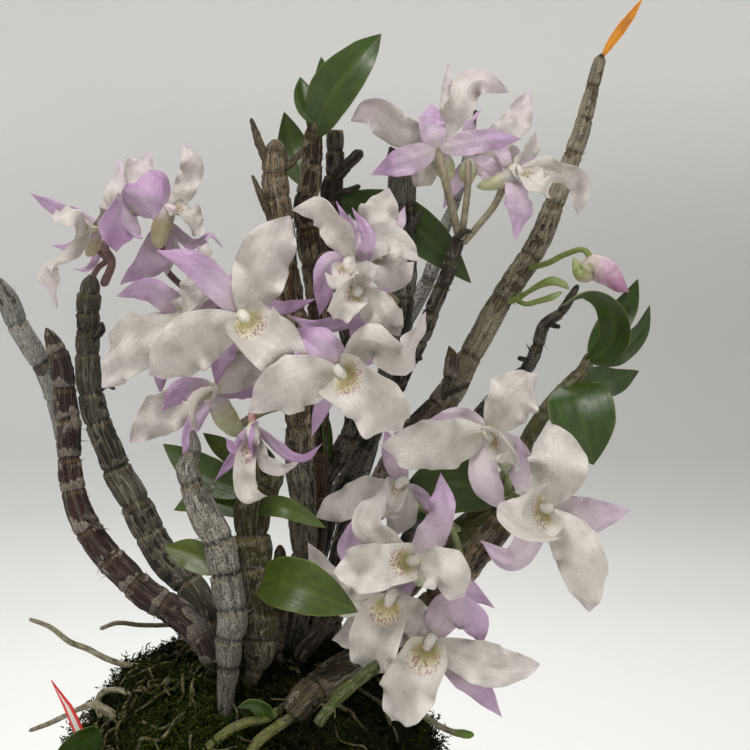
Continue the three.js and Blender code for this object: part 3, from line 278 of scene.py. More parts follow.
BLOOMS = {
    "bloom_left_outer": {
        "facing": (-0.6, -0.75, -0.2), "throat": (92, 224, -12),
        "spur": [(92, 228, -11, 17), (93, 246, -9, 16), (87, 256, -8, 9)],
        "stalk": [(95, 248, -8, 7), (106, 260, -7, 6), (98, 268, -6, 6), (90, 282, -5, 6)],
        "blades": [
            ("sepal", 17, [(56, 212, -8), (25, 194, -10)]),
            ("petal", 27, [(68, 256, -17), (44, 266, -17), (50, 284, -16), (57, 308, -14)]),
            ("sepal", 12, [(68, 248, -8), (47, 246, -8)]),
            ("sepal", 14, [(92, 250, -6), (84, 267, -7), (69, 270, -9)]),
            ("petal", 20, [(103, 208, -4), (107, 193, -3)]), ("lip", 38, [(76, 214, -20), (54, 216, -22)]),
        ],
    },
    "bloom_left_back_turned": {
        "facing": (0.1, 0.9, 0.4), "throat": (134, 210, -17),
        "spur": [(132, 208, -17, 14), (122, 224, -15, 14), (112, 238, -15, 9)],
        "stalk": [(116, 232, -15, 9), (105, 246, -14, 8), (112, 262, -9, 8), (103, 286, -6, 9)],
        "blades": [
            ("sepal", 50, [(122, 222, -24), (118, 250, -21)]), ("sepal", 40, [(146, 192, -24), (151, 168, -21)]),
            ("petal", 25, [(139, 172, -14), (153, 152, -10)]),
            ("petal", 18, [(114, 198, -15), (118, 180, -15), (120, 159, -12)]),
            ("sepal", 14, [(163, 196, -12), (164, 177, -14), (146, 168, -12)]),
            ("lip", 28, [(152, 190, -4), (158, 176, 2)]),
        ],
    },
    "bloom_left_inner": {
        "facing": (0.3, -0.75, 0.55), "throat": (166, 214, -10),
        "spur": [(168, 208, -13, 18), (161, 230, -16, 20), (158, 249, -15, 11)],
        "stalk": [(160, 240, -10, 8), (168, 272, 0, 7), (214, 306, 6, 7), (284, 318, -9, 7)],
        "blades": [
            ("petal", 24, [(186, 186, -9), (192, 166, -10), (182, 143, -9)]),
            ("sepal", 14, [(194, 240, -14), (212, 230, -15), (224, 243, -13)]),
            ("sepal", 30, [(164, 230, -9), (150, 258, -10), (121, 281, -8)]),
            ("petal", 28, [(166, 236, -8), (168, 256, -6), (166, 275, -5)]),
            ("sepal", 18, [(150, 192, -3), (148, 172, 0)]), ("lip", 30, [(186, 222, -15), (202, 240, -14)]),
        ],
    },
    "bloom_centre_left": {
        "facing": (0.2, -0.95, -0.1), "throat": (244, 318, -30),
        "spur": [(243, 316, -27, 16), (238, 332, -22, 14), (240, 350, -19, 9)],
        "stalk": [(243, 336, -20, 8), (260, 356, -14, 8), (296, 366, -8, 8)],
        "blades": [
            ("sepal", 28, [(222, 290, -35), (194, 264, -36), (157, 250, -32)]),
            ("petal", 54, [(264, 264, -33), (290, 216, -30)]), ("petal", 54, [(194, 342, -34), (148, 376, -29)]),
            ("sepal", 28, [(232, 330, -26), (222, 358, -30), (217, 386, -28)]),
            ("sepal", 16, [(254, 306, -24), (286, 309, -26), (317, 299, -24)]),
            ("lip", 54, [(260, 336, -40), (274, 348, -41), (284, 372, -36)]),
        ],
    },
    "bloom_behind_left": {
        "facing": (-0.25, -0.95, 0.1), "throat": (186, 316, -15),
        "spur": [(186, 316, -13, 14), (190, 330, -10, 13), (198, 342, -8, 8)],
        "stalk": [(194, 332, -8, 7), (240, 352, -3, 7), (296, 350, -7, 7)],
        "blades": [
            ("sepal", 26, [(148, 290, -21), (113, 295, -18)]), ("petal", 50, [(140, 338, -21), (102, 388, -17)]),
            ("petal", 32, [(200, 278, -16), (206, 240, -13)]), ("sepal", 22, [(160, 362, -12), (158, 396, -11)]),
            ("sepal", 18, [(222, 286, -12), (236, 268, -10)]), ("lip", 28, [(192, 304, -25), (206, 296, -25)]),
        ],
    },
    "bloom_centre_low_left": {
        "facing": (-0.2, -0.95, -0.2), "throat": (214, 392, -21),
        "spur": [(214, 392, -20, 18), (226, 418, -17, 24), (242, 436, -16, 14)],
        "stalk": [(236, 428, -15, 9), (262, 412, -12, 8), (298, 402, -8, 8)],
        "blades": [
            ("sepal", 26, [(182, 394, -26), (159, 412, -23)]), ("petal", 42, [(168, 410, -17), (130, 442, -13)]),
            ("petal", 34, [(244, 372, -22), (270, 384, -20)]), ("sepal", 15, [(188, 432, -23), (181, 462, -21)]),
            ("sepal", 20, [(250, 392, -17), (266, 402, -16)]), ("lip", 36, [(204, 402, -31), (196, 430, -28)]),
        ],
    },
    "bloom_hanging": {
        "facing": (-0.1, -0.9, -0.45), "throat": (255, 430, -34),
        "spur": [(255, 425, -34, 9), (255, 438, -33, 12), (254, 448, -32, 8)],
        "stalk": [(255, 434, -34, 8), (252, 414, -33, 7), (262, 392, -27, 7), (298, 384, -9, 7)],
        "blades": [
            ("sepal", 24, [(251, 445, -41), (251, 462, -41)]), ("sepal", 19, [(238, 452, -40), (224, 441, -41)]),
            ("sepal", 12, [(280, 453, -37), (304, 461, -37), (321, 447, -36)]),
            ("sepal", 11, [(232, 462, -33), (213, 485, -32)]),
            ("petal", 15, [(267, 464, -36), (282, 470, -36), (300, 460, -35)]),
            ("lip", 21, [(246, 468, -38), (251, 490, -37), (268, 493, -35)]),
        ],
    },
    "bloom_centre_top": {
        "facing": (-0.3, -0.9, 0.1), "throat": (352, 266, -30),
        "spur": [(352, 262, -27, 12), (358, 274, -22, 13), (362, 286, -18, 8)],
        "stalk": [(359, 278, -18, 8), (352, 292, -8, 7), (345, 308, 10, 7)],
        "blades": [
            ("petal", 30, [(336, 230, -35), (318, 212, -35), (292, 210, -31)]),
            ("sepal", 17, [(367, 240, -38), (350, 206, -36)]), ("sepal", 24, [(328, 264, -36), (317, 315, -32)]),
            ("petal", 28, [(388, 238, -32), (420, 261, -30)]),
            ("sepal", 11, [(352, 250, -25), (345, 222, -25), (334, 200, -24)]),
            ("lip", 30, [(346, 284, -41), (352, 300, -40)]),
        ],
    },
    "bloom_centre_back": {
        "facing": (-0.15, -0.95, 0.2), "throat": (374, 250, -16),
        "spur": [(374, 250, -14, 12), (378, 264, -10, 12), (382, 276, -7, 8)],
        "stalk": [(380, 268, -7, 8), (386, 290, -2, 7), (400, 304, 7, 7)],
        "blades": [
            ("petal", 38, [(378, 218, -21), (389, 188, -18)]), ("petal", 38, [(394, 270, -24), (414, 262, -21)]),
            ("sepal", 16, [(352, 228, -15), (348, 212, -14)]), ("sepal", 16, [(396, 226, -14), (404, 204, -12)]),
            ("sepal", 16, [(362, 276, -14), (364, 294, -12)]), ("lip", 26, [(388, 246, -25), (400, 238, -23)]),
        ],
    },
    "bloom_centre_middle": {
        "facing": (-0.1, -0.95, -0.2), "throat": (356, 292, -36),
        "spur": [(356, 294, -33, 11), (352, 308, -28, 12), (346, 320, -23, 8)],
        "stalk": [(349, 314, -23, 8), (338, 322, -10, 7), (321, 336, 4, 7)],
        "blades": [
            ("petal", 36, [(378, 312, -42), (400, 336, -38)]), ("petal", 22, [(366, 272, -43), (380, 266, -41)]),
            ("sepal", 16, [(350, 318, -30), (316, 328, -32), (286, 317, -30)]),
            ("sepal", 18, [(356, 322, -33), (350, 342, -31)]), ("sepal", 16, [(378, 296, -31), (390, 290, -29)]),
            ("lip", 30, [(346, 302, -46), (334, 318, -43)]),
        ],
    },
    "bloom_centre_front": {
        "facing": (0, -0.98, -0.1), "throat": (342, 372, -38),
        "spur": [(341, 372, -35, 15), (334, 384, -30, 14), (328, 396, -26, 8)],
        "stalk": [(332, 388, -27, 8), (326, 384, -14, 8), (318, 392, 2, 8)],
        "blades": [
            ("sepal", 38, [(318, 350, -43), (288, 330, -40)]), ("petal", 50, [(296, 384, -45), (248, 412, -40)]),
            ("petal", 34, [(372, 342, -45), (402, 358, -46), (426, 312, -42)]),
            ("sepal", 16, [(322, 408, -36), (311, 438, -34)]), ("sepal", 12, [(372, 358, -31), (392, 350, -30)]),
            ("lip", 54, [(368, 392, -50), (402, 432, -45)]),
        ],
    },
    "bloom_right_upper": {
        "facing": (0.1, -0.95, -0.2), "throat": (490, 434, -27),
        "spur": [(490, 434, -24, 16), (502, 456, -20, 18), (512, 476, -16, 9)],
        "stalk": [(506, 468, -17, 8), (508, 486, -11, 7), (500, 500, -2, 7)],
        "blades": [
            ("petal", 48, [(516, 398, -31), (538, 374, -28)]), ("petal", 50, [(432, 446, -34), (381, 446, -30)]),
            ("sepal", 19, [(460, 418, -23), (430, 421, -22)]), ("sepal", 28, [(486, 480, -31), (510, 515, -27)]),
            ("sepal", 24, [(522, 462, -19), (526, 492, -17)]), ("lip", 34, [(506, 446, -40), (518, 470, -37)]),
        ],
    },
    "bloom_right_front": {
        "facing": (-0.1, -0.98, 0.05), "throat": (544, 508, -28),
        "spur": [(544, 508, -26, 15), (530, 504, -20, 15), (518, 500, -17, 9)],
        "stalk": [(522, 501, -18, 8), (510, 494, -10, 7), (500, 496, -2, 7)],
        "blades": [
            ("petal", 54, [(558, 464, -33), (550, 424, -29)]), ("petal", 46, [(578, 552, -35), (590, 612, -30)]),
            ("sepal", 34, [(592, 516, -29), (631, 510, -27)]), ("sepal", 27, [(512, 560, -29), (480, 541, -27)]),
            ("sepal", 24, [(520, 470, -23), (518, 434, -21)]), ("lip", 54, [(524, 518, -40), (500, 502, -37)]),
        ],
    },
    "bloom_lower_upper": {
        "facing": (-0.35, -0.9, 0.05), "throat": (414, 560, -34),
        "spur": [(414, 560, -32, 15), (418, 574, -28, 16), (422, 586, -26, 10)],
        "stalk": [(416, 562, -30, 8), (432, 534, -22, 7), (446, 522, -19, 7), (463, 560, -15, 8)],
        "blades": [
            ("lip", 44, [(382, 566, -44), (335, 572, -41)]), ("sepal", 32, [(438, 514, -34), (439, 473, -31)]),
            ("petal", 28, [(386, 544, -40), (367, 524, -40), (387, 484, -36)]),
            ("petal", 40, [(446, 572, -43), (464, 597, -38)]),
            ("sepal", 26, [(386, 552, -33), (352, 556, -34), (352, 532, -35), (367, 508, -34)]),
            ("sepal", 26, [(460, 588, -25), (493, 609, -23)]),
        ],
    },
    "bloom_lower_back": {
        "facing": (-0.15, -0.95, 0.2), "throat": (402, 486, -22),
        "spur": [(402, 486, -20, 13), (408, 498, -16, 13), (416, 508, -14, 8)],
        "stalk": [(412, 502, -14, 8), (432, 514, -12, 7), (460, 530, -3, 7)],
        "blades": [
            ("petal", 38, [(354, 500, -26), (316, 517, -23)]), ("sepal", 22, [(394, 460, -25), (384, 427, -23)]),
            ("petal", 28, [(402, 516, -21), (388, 534, -19)]), ("sepal", 18, [(372, 516, -18), (358, 530, -17)]),
            ("sepal", 18, [(424, 500, -16), (434, 516, -15)]), ("lip", 26, [(390, 504, -31), (378, 516, -29)]),
        ],
    },
    "bloom_lower_left": {
        "facing": (-0.15, -0.98, 0.05), "throat": (392, 598, -28),
        "spur": [(392, 598, -26, 14), (404, 600, -22, 14), (414, 604, -19, 8)],
        "stalk": [(410, 602, -20, 8), (424, 604, -17, 8), (436, 602, -16, 8)],
        "blades": [
            ("lip", 50, [(378, 636, -38), (370, 674, -34)]), ("petal", 34, [(363, 631, -31), (332, 640, -28)]),
            ("petal", 30, [(346, 602, -30), (326, 574, -31), (308, 543, -28)]),
            ("petal", 34, [(418, 622, -29), (428, 640, -26)]), ("sepal", 18, [(368, 590, -24), (350, 590, -23)]),
            ("sepal", 22, [(408, 584, -22), (420, 578, -20)]),
        ],
    },
    "bloom_lowest": {
        "facing": (-0.1, -0.98, 0.1), "throat": (430, 642, -30),
        "spur": [(430, 642, -28, 15), (438, 630, -24, 15), (442, 620, -21, 9)],
        "stalk": [(440, 626, -22, 8), (446, 616, -19, 8), (444, 604, -16, 8)],
        "blades": [
            ("lip", 52, [(416, 678, -40), (392, 720, -35)]),
            ("petal", 40, [(476, 662, -36), (506, 668, -35), (540, 664, -31)]),
            ("sepal", 28, [(472, 682, -29), (502, 718, -27)]),
            ("sepal", 34, [(448, 612, -34), (472, 618, -35), (482, 648, -32)]),
            ("petal", 28, [(406, 632, -29), (388, 646, -27)]),
        ],
    },
    "bloom_top_back_turned": {
        "facing": (-0.1, 0.95, 0.25), "throat": (437, 148, -12),
        "spur": [(438, 150, -10, 17), (444, 166, -6, 22), (450, 180, -6, 15)],
        "stalk": [(437, 147, -13, 8), (444, 176, -14, 8), (452, 208, -10, 8), (459, 238, -5, 8)],
        "blades": [
            ("petal", 36, [(398, 130, -13), (372, 112, -14), (351, 121, -12)]),
            ("sepal", 28, [(400, 162, -14), (370, 174, -12)]), ("sepal", 27, [(431, 126, -15), (431, 103, -12)]),
            ("petal", 14, [(447, 104, -10), (448, 64, -8)]),
            ("petal", 30, [(457, 108, -10), (476, 82, -10), (509, 92, -8)]),
            ("sepal", 24, [(484, 140, -15), (520, 138, -13)]), ("lip", 24, [(424, 178, -4), (412, 188, 0)]),
        ],
    },
    "bloom_top_middle": {
        "facing": (0.5, 0.85, 0.2), "throat": (474, 160, -3),
        "spur": [(472, 158, -4, 12), (468, 172, -5, 19), (468, 186, -5, 10)],
        "stalk": [(468, 160, -7, 7), (468, 184, -9, 7), (465, 212, -8, 7), (461, 240, -5, 8)],
        "blades": [
            ("petal", 32, [(510, 130, -1), (531, 91, 1)]), ("sepal", 22, [(494, 170, -5), (508, 186, -4)]),
            ("petal", 24, [(506, 156, 3), (530, 164, 6)]), ("sepal", 18, [(474, 130, 2), (484, 108, 4)]),
            ("sepal", 18, [(456, 186, 4), (446, 208, 6)]), ("lip", 24, [(500, 148, 8), (518, 146, 12)]),
        ],
    },
    "bloom_top_right": {
        "facing": (0.35, -0.8, -0.2), "throat": (514, 172, -12),
        "spur": [(516, 172, -12, 16), (498, 182, -11, 16), (477, 187, -10, 7)],
        "stalk": [(504, 186, -11, 8), (494, 206, -9, 7), (478, 226, -7, 7), (463, 244, -4, 7)],
        "blades": [
            ("sepal", 26, [(524, 206, -17), (519, 242, -15)]),
            ("petal", 26, [(552, 170, -17), (578, 184, -17), (578, 215, -14)]),
            ("sepal", 15, [(505, 150, -13), (497, 127, -12)]), ("sepal", 14, [(542, 166, -8), (562, 174, -6)]),
            ("petal", 26, [(534, 150, -5), (536, 132, -3)]), ("lip", 26, [(534, 184, -22), (548, 198, -21)]),
        ],
    },
}
BUDS = {
    "bud_right_large": [
        [(524, 269, 19, 7), (548, 263, 13, 6), (566, 254, 10, 6), (584, 250, 8, 6), (594, 266, 6, 8)],
        [
            (574, 258, 8, 8), (582, 275, 6, 15), (594, 268, 6, 27), (608, 274, 5, 26), (620, 286, 4, 15),
            (629, 292, 4, 4),
        ],
    ],
    "buds_right_small": [
        [
            (504, 302, 17, 7), (516, 299, 15, 7), (528, 292, 12, 5), (540, 285, 10, 7), (553, 281, 9, 10),
            (563, 284, 9, 8), (569, 289, 9, 4),
        ],
        [(515, 299, 15, 6), (526, 304, 12, 5), (539, 301, 11, 6), (552, 297, 10, 7), (562, 292, 10, 4)],
    ],
}
LOW_LEAVES = {
    "leaf_low_front": (17, 0, [(266, 726, -40), (262, 709, -44.5), (251, 704, -45.5), (237, 708, -45.5)]),
    "leaf_low_left": (30, 0, [(98, 752, -34), (84, 738, -38), (72, 740, -42), (54, 756, -44)]),
}

# How each cane looks: the heights of its joints in pixels, its bare and sheathed colours, how
# much papery sheath is left, how deep it is ribbed and how far its rings darken
GREY = {"bare": (0.25, 0.23, 0.205), "sheath": (0.56, 0.545, 0.51), "cover": 0.75, "ribs": 0.05}
CANE_LOOKS = {
    "cane_left_outer": {
        **GREY, "joints": [279, 323, 362, 400, 440, 486, 530, 566, 596, 628, 655],
        "bare": (0.32, 0.30, 0.28), "sheath": (0.64, 0.635, 0.61), "cover": 0.85, "specks": 0.55, "peel": 0.6,
    },
    "cane_left_dark": {
        "joints": [352, 387, 419, 458, 490, 529, 558, 582, 604, 637, 665],
        "bare": (0.20, 0.125, 0.12), "sheath": (0.54, 0.50, 0.46), "cover": 0.4, "ribs": 0.05, "peel": 0.95,
        "veins": 0.35, "specks": 0.5, "collar": 0.7, "rings": 0.2, "shreds": 1.6,
    },
    "cane_left_grey": {
        **GREY, "joints": [292, 312, 329, 354, 392, 421, 467, 502, 533, 583, 620, 652],
        "bare": (0.17, 0.155, 0.13), "sheath": (0.355, 0.335, 0.285), "cover": 0.65, "ribs": 0.045, "veins": 1.0,
        "specks": 0.35, "rings": 0.35, "peel": 0.7, "shreds": 0.8,
    },
    "cane_front_speckled": {
        "joints": [452, 482, 540, 573, 608, 638, 667], "bare": (0.30, 0.275, 0.24),
        "sheath": (0.62, 0.60, 0.56), "cover": 0.95, "ribs": 0.02, "net": 0.75, "rings": 1.0,
        "veins": 0.6, "specks": 0.75, "cracks": 0.6, "barrel": 1.8,
    },
    "cane_front_olive": {
        "joints": [460, 486, 533, 567, 610, 638, 668], "bare": (0.21, 0.195, 0.095),
        "sheath": (0.32, 0.29, 0.20), "cover": 0.45, "ribs": 0.02, "veins": 0.45, "rings": 0.8,
        "specks": 0.5, "barrel": 4.5, "wraps": (7,),
    },
    "cane_front_slender": {
        "joints": [570, 612, 650, 690], "bare": (0.27, 0.205, 0.16), "sheath": (0.40, 0.34, 0.28),
        "cover": 0.5, "ribs": 0.03, "cracks": 0.5,
    },
    "cane_tall_tan": {
        "joints": [150, 172, 198, 222, 268, 312, 350, 392, 425, 470, 505, 552, 600, 640],
        "bare": (0.27, 0.19, 0.125), "sheath": (0.57, 0.51, 0.41), "cover": 0.6, "ribs": 0.08, "veins": 0.7,
        "peel": 0.85, "specks": 0.5, "cracks": 1.0, "weathered": (440, (0.50, 0.48, 0.43)), "shreds": 1.0,
    },
    "cane_tall_leafy": {
        "joints": [130, 162, 196, 226, 262, 305, 350, 398, 450, 500, 552, 605, 650],
        "bare": (0.25, 0.18, 0.12), "sheath": (0.53, 0.47, 0.37), "cover": 0.5, "ribs": 0.06, "peel": 0.85,
        "veins": 0.5, "specks": 0.5, "cracks": 0.9, "shreds": 1.0,
    },
    "cane_short_cut": {
        "joints": [150, 176, 200, 246, 292, 340, 388, 436, 480, 530, 580, 630],
        "bare": (0.17, 0.14, 0.12), "sheath": (0.42, 0.39, 0.35), "cover": 0.4, "ribs": 0.07, "peel": 0.7,
        "veins": 0.4, "specks": 0.6, "cracks": 0.9,
    },
    "cane_centre_grey": {
        "joints": [172, 206, 250, 295, 338, 380, 430, 478, 522, 570, 618, 660],
        "bare": (0.19, 0.17, 0.15), "sheath": (0.47, 0.45, 0.41), "cover": 0.55, "ribs": 0.08, "veins": 0.8,
        "peel": 0.7, "specks": 0.5, "cracks": 1.0,
    },
    "cane_thin_twig": {
        "joints": [258, 284, 310, 338, 362, 392, 430, 480, 530, 580, 630],
        "bare": (0.21, 0.18, 0.155), "sheath": (0.46, 0.43, 0.39), "cover": 0.45, "ribs": 0.06, "veins": 0.5,
        "peel": 0.7, "specks": 0.6, "cracks": 0.8,
    },
    "cane_long_right": {
        "joints": [86, 118, 153, 204, 257, 300, 355, 398, 440, 500, 560, 620],
        "bare": (0.33, 0.27, 0.19), "sheath": (0.60, 0.57, 0.48), "cover": 0.72, "ribs": 0.03, "veins": 0.6,
        "peel": 0.7, "specks": 0.45, "cracks": 0.5, "rings": 0.9,
    },
    "cane_dry_bract": {
        "joints": [378, 404, 430, 470, 520, 570, 620, 660], "bare": (0.23, 0.185, 0.15),
        "sheath": (0.46, 0.42, 0.37), "cover": 0.5, "ribs": 0.07, "veins": 0.5, "peel": 0.7, "cracks": 0.8,
    },
    "cane_thin_grey": {
        "joints": [312, 345, 370, 400, 436, 480, 530, 580, 640], "bare": (0.21, 0.19, 0.175),
        "sheath": (0.42, 0.40, 0.375), "cover": 0.5, "ribs": 0.05, "veins": 0.4, "cracks": 0.6,
    },
    "cane_leafy_right": {
        "joints": [368, 388, 412, 440, 474, 508, 548, 590, 640], "bare": (0.29, 0.29, 0.15),
        "sheath": (0.44, 0.425, 0.32), "cover": 0.5, "ribs": 0.03, "veins": 0.5, "peel": 0.6, "specks": 0.4,
    },
    "cane_back_pale": {
        "joints": [150, 200, 232, 278, 322, 380, 440, 500, 560, 620], "bare": (0.30, 0.28, 0.26),
        "sheath": (0.62, 0.61, 0.59), "cover": 0.8, "ribs": 0.03, "specks": 1.0, "rings": 1.0,
    },
    "cane_cut_right": {
        "joints": [548, 600, 640, 662, 690], "bare": (0.36, 0.30, 0.22), "sheath": (0.60, 0.54, 0.44),
        "cover": 0.5, "ribs": 0.09, "veins": 0.7, "peel": 0.8, "specks": 0.4, "cracks": 1.0,
    },
    "young_shoot": {
        "joints": [662, 684, 704], "bare": (0.25, 0.31, 0.11), "sheath": (0.31, 0.36, 0.15),
        "cover": 0.7, "ribs": 0.02, "rings": 0.2, "shreds": 0, "specks": 0.1, "cracks": 0,
    },
}
FLAT_TOPPED = ("cane_short_cut", "cane_cut_right")

# The colours of spur and stalk
PINK = ((0.76, 0.72, 0.58), (0.5, 0.38, 0.37))
GREEN = ((0.84, 0.86, 0.72), (0.64, 0.68, 0.46))
OLIVE = ((0.8, 0.8, 0.64), (0.64, 0.6, 0.5))


def bloom_look(colours, sepal, petal, throat=1.0):
    """How lilac the sepals and petals are, from 0 to 1, and how strongly the throat is tinted yellow and darkened
    to olive, the olive partly painted shade
    """
    return {"spur": colours[0], "stalk": colours[1], "sepal": sepal, "petal": petal, "throat": throat}


BLOOM_LOOKS = {
    "bloom_left_outer": bloom_look(PINK, 0.7, 0.25),
    "bloom_left_back_turned": bloom_look(PINK, 0.75, 0.45),
    "bloom_left_inner": bloom_look(((0.74, 0.7, 0.56), PINK[1]), 0.6, 0.2),
    "bloom_centre_left": bloom_look(OLIVE, 0.75, 0.05),
    "bloom_behind_left": bloom_look(OLIVE, 0.7, 0.08),
    "bloom_centre_low_left": bloom_look(OLIVE, 0.8, 0.08),
    "bloom_hanging": bloom_look(((0.84, 0.66, 0.66), (0.82, 0.62, 0.6)), 1.0, 0.1, 0.35),
    "bloom_centre_top": bloom_look(OLIVE, 0.8, 0.06),
    "bloom_centre_back": bloom_look(OLIVE, 0.4, 0.04),
    "bloom_centre_middle": bloom_look(OLIVE, 0.75, 0.05),
    "bloom_centre_front": bloom_look(OLIVE, 0.75, 0.05),
    "bloom_right_upper": bloom_look(GREEN, 0.3, 0.04),
    "bloom_right_front": bloom_look(GREEN, 0.35, 0.04),
    "bloom_lower_upper": bloom_look(GREEN, 0.6, 0.05),
    "bloom_lower_back": bloom_look(GREEN, 0.6, 0.06),
    "bloom_lower_left": bloom_look(GREEN, 0.6, 0.06),
    "bloom_lowest": bloom_look(GREEN, 0.6, 0.08),
    "bloom_top_back_turned": bloom_look(OLIVE, 0.65, 0.3),
    "bloom_top_middle": bloom_look(OLIVE, 0.55, 0.3),
    "bloom_top_right": bloom_look(OLIVE, 0.6, 0.12),
}

# Leaves by the cane they grow on: how far each one leans to yellow
LEAF_YELLOW = {
    "cane_front_speckled": [0.75],
    "cane_front_olive": [0.2, 0.5, 0.3, 0.45, 0.4],
    "cane_tall_leafy": [0.15, 0.1, 0.1, 0.25],
    "cane_short_cut": [0.1, 0.1],
    "cane_leafy_right": [0.15, 0.1, 0.1, 0.05, 0.05, 0.15],
}

# Numbers


def seen(row):
    """The point in millimetres that the photograph's eye sees at a pixel, at a depth"""
    across, down, depth = row[:3]
    spread = PIXEL * (EYE_DISTANCE + depth) / EYE_DISTANCE
    x = EYE_ACROSS + (across - PHOTO_SIDE / 2) * spread
    return np.array([x, depth, EYE_HEIGHT + (PHOTO_SIDE / 2 - down) * spread])


def linear(colour):
    """A colour as light, from one as the eye sees it"""
    return np.asarray(colour, float) ** GAMMA


def smooth(low, high, values):
    share = np.clip((values - low) / (high - low), 0, 1)
    return share * share * (3 - 2 * share)


def mixed(first, second, share):
    share = np.asarray(share)[..., None]
    return np.asarray(first) * (1 - share) + np.asarray(second) * share


LATTICE = np.random.default_rng(11).random((32, 32, 32)) * 2 - 1


def noise(points, shift=0.0):
    """Smooth noise between -1 and 1 at each point, with one bump to a unit"""
    points = np.asarray(points, float) + shift
    low = np.floor(points).astype(int)
    part = points - low
    part = part * part * (3 - 2 * part)
    total = 0
    for corner in range(8):
        pick = [(corner >> axis) & 1 for axis in range(3)]
        weight = 1
        for axis in range(3):
            weight = weight * (part[..., axis] if pick[axis] else 1 - part[..., axis])
        total = total + weight * LATTICE[tuple((low[..., axis] + pick[axis]) % 32 for axis in range(3))]
    return total


def rough(points, octaves=3, shift=0.0):
    """Noise with finer noise on top"""
    points = np.asarray(points, float)
    return sum(noise(points * 2**k, shift + 7.3 * k) / 2**k for k in range(octaves)) / 1.6


# Lines: a centripetal Catmull-Rom curve with places taken evenly by length


class Line:
    def __init__(self, points, facing):
        self.facing = np.array(facing, float)
        points = np.asarray(points, float)
        last = len(points) - 1

        def corner(k):
            if k < 0:
                return 2 * points[0] - points[1]
            if k > last:
                return 2 * points[last] - points[last - 1]
            return points[k]

        fine = []
        spans = []
        for k in range(last):
            a, b, c, d = (corner(k + step) for step in (-1, 0, 1, 2))
            ab, bc, cd = (np.linalg.norm(q - p) ** 0.5 for p, q in ((a, b), (b, c), (c, d)))
            leave = ((b - a) / ab - (c - a) / (ab + bc) + (c - b) / bc) * bc
            reach = ((c - b) / bc - (d - b) / (bc + cd) + (d - c) / cd) * bc
            w = np.linspace(0, 1, 60, endpoint=k == last - 1)[:, None]
            bend = (-3 * b + 3 * c - 2 * leave - reach) * w**2
            fine.append(b + leave * w + bend + (2 * b - 2 * c + leave + reach) * w**3)
            spans.append(k + w[:, 0])
        self.fine = np.concatenate(fine)
        self.spans = np.concatenate(spans)
        steps = np.linalg.norm(np.diff(self.fine, axis=0), axis=1)
        self.run = np.concatenate([[0], np.cumsum(steps)])
        self.length = self.run[-1]

    def place(self, at):
        return np.stack([np.interp(at, self.run, self.fine[:, axis]) for axis in range(3)], 1)

    def frames(self, at):
        """Place, direction, normal, side and span at each length along the line"""
        reach = self.length / 300
        along = self.place(np.minimum(at + reach, self.length)) - self.place(np.maximum(at - reach, 0))
        along /= np.linalg.norm(along, axis=1)[:, None]
        normals = np.empty_like(along)
        normal = self.facing
        for k, way in enumerate(along):
            normal = normal - way * (normal @ way)
            normal = normal / np.linalg.norm(normal)
            normals[k] = normal
        return self.place(at), along, normals, np.cross(normals, along), np.interp(at, self.run, self.spans)


# Pieces

SKIN_VALUES = (("tone", 3), ("grain", 3), ("marks", 3), ("under", 4))


class Skin:
    """The points, faces and attributes of one piece. Tone is its colour. Under is the colour
    where the outer skin is gone, with a fourth number that tells how sure the skin is there.
    Grain is a place in millimetres that runs with the piece's own growth, for the fine patterns
    of its material. Marks are three strengths from 0 to 1: on bark pale fibres, dark specks and
    long cracks, and on petals the first is the freckles of the throat."""

    def __init__(self):
        self.points = []
        self.values = {"tone": [], "grain": [], "marks": [], "under": []}
        self.quads = []
        self.threes = []
        self.size = 0

    def add(self, points, tone, grain, quads=(), threes=(), marks=(0, 0, 0), under=(0, 0, 0, 1)):
        points = np.asarray(points, float).reshape(-1, 3)
        self.points.append(points)
        for (name, wide), value in zip(SKIN_VALUES, (tone, grain, marks, under)):
            value = np.asarray(value, float).reshape(-1, wide)
            self.values[name].append(np.broadcast_to(value, (len(points), wide)))
        if len(quads):
            self.quads.append(np.asarray(quads) + self.size)
        if len(threes):
            self.threes.append(np.asarray(threes) + self.size)
        self.size += len(points)

    def piece(self, name, material, slot, *nodes):
        quads = np.concatenate(self.quads) if self.quads else np.zeros((0, 4), int)
        threes = np.concatenate(self.threes) if self.threes else np.zeros((0, 3), int)
        mesh = bpy.data.meshes.new(name)
        mesh.vertices.add(self.size)
        places = (np.concatenate(self.points) * MM).astype(np.float32)
        mesh.vertices.foreach_set("co", places.ravel())
        loops = np.concatenate([quads.ravel(), threes.ravel()]).astype(np.int32)
        mesh.loops.add(len(loops))
        mesh.loops.foreach_set("vertex_index", loops)
        sizes = np.concatenate([np.full(len(quads), 4), np.full(len(threes), 3)])
        mesh.polygons.add(len(sizes))
        starts = np.concatenate([[0], np.cumsum(sizes)[:-1]]).astype(np.int32)
        mesh.polygons.foreach_set("loop_start", starts)
        mesh.polygons.foreach_set("use_smooth", np.ones(len(sizes), bool))
        for key in READ_VALUES.get(material, ("tone", "grain")):
            values = np.concatenate(self.values[key])
            colour = key in ("tone", "under")
            if colour:
                values = np.clip(values, 0, 1)
            if key == "tone":
                values = np.hstack([values, np.ones((self.size, 1))])
            kind = "FLOAT_COLOR" if colour else "FLOAT_VECTOR"
            data = mesh.attributes.new(key, kind, "POINT").data
            data.foreach_set("color" if colour else "vector", values.astype(np.float32).ravel())
        mesh.update(calc_edges=True)
        mesh.materials.append(material)
        return shown(name, mesh, slot, *nodes)


def shown(name, mesh, slot, *nodes):
    piece = bpy.data.objects.new(name, mesh)
    bpy.context.scene.collection.objects.link(piece)
    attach(piece, "root")
    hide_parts(*nodes)
    return piece


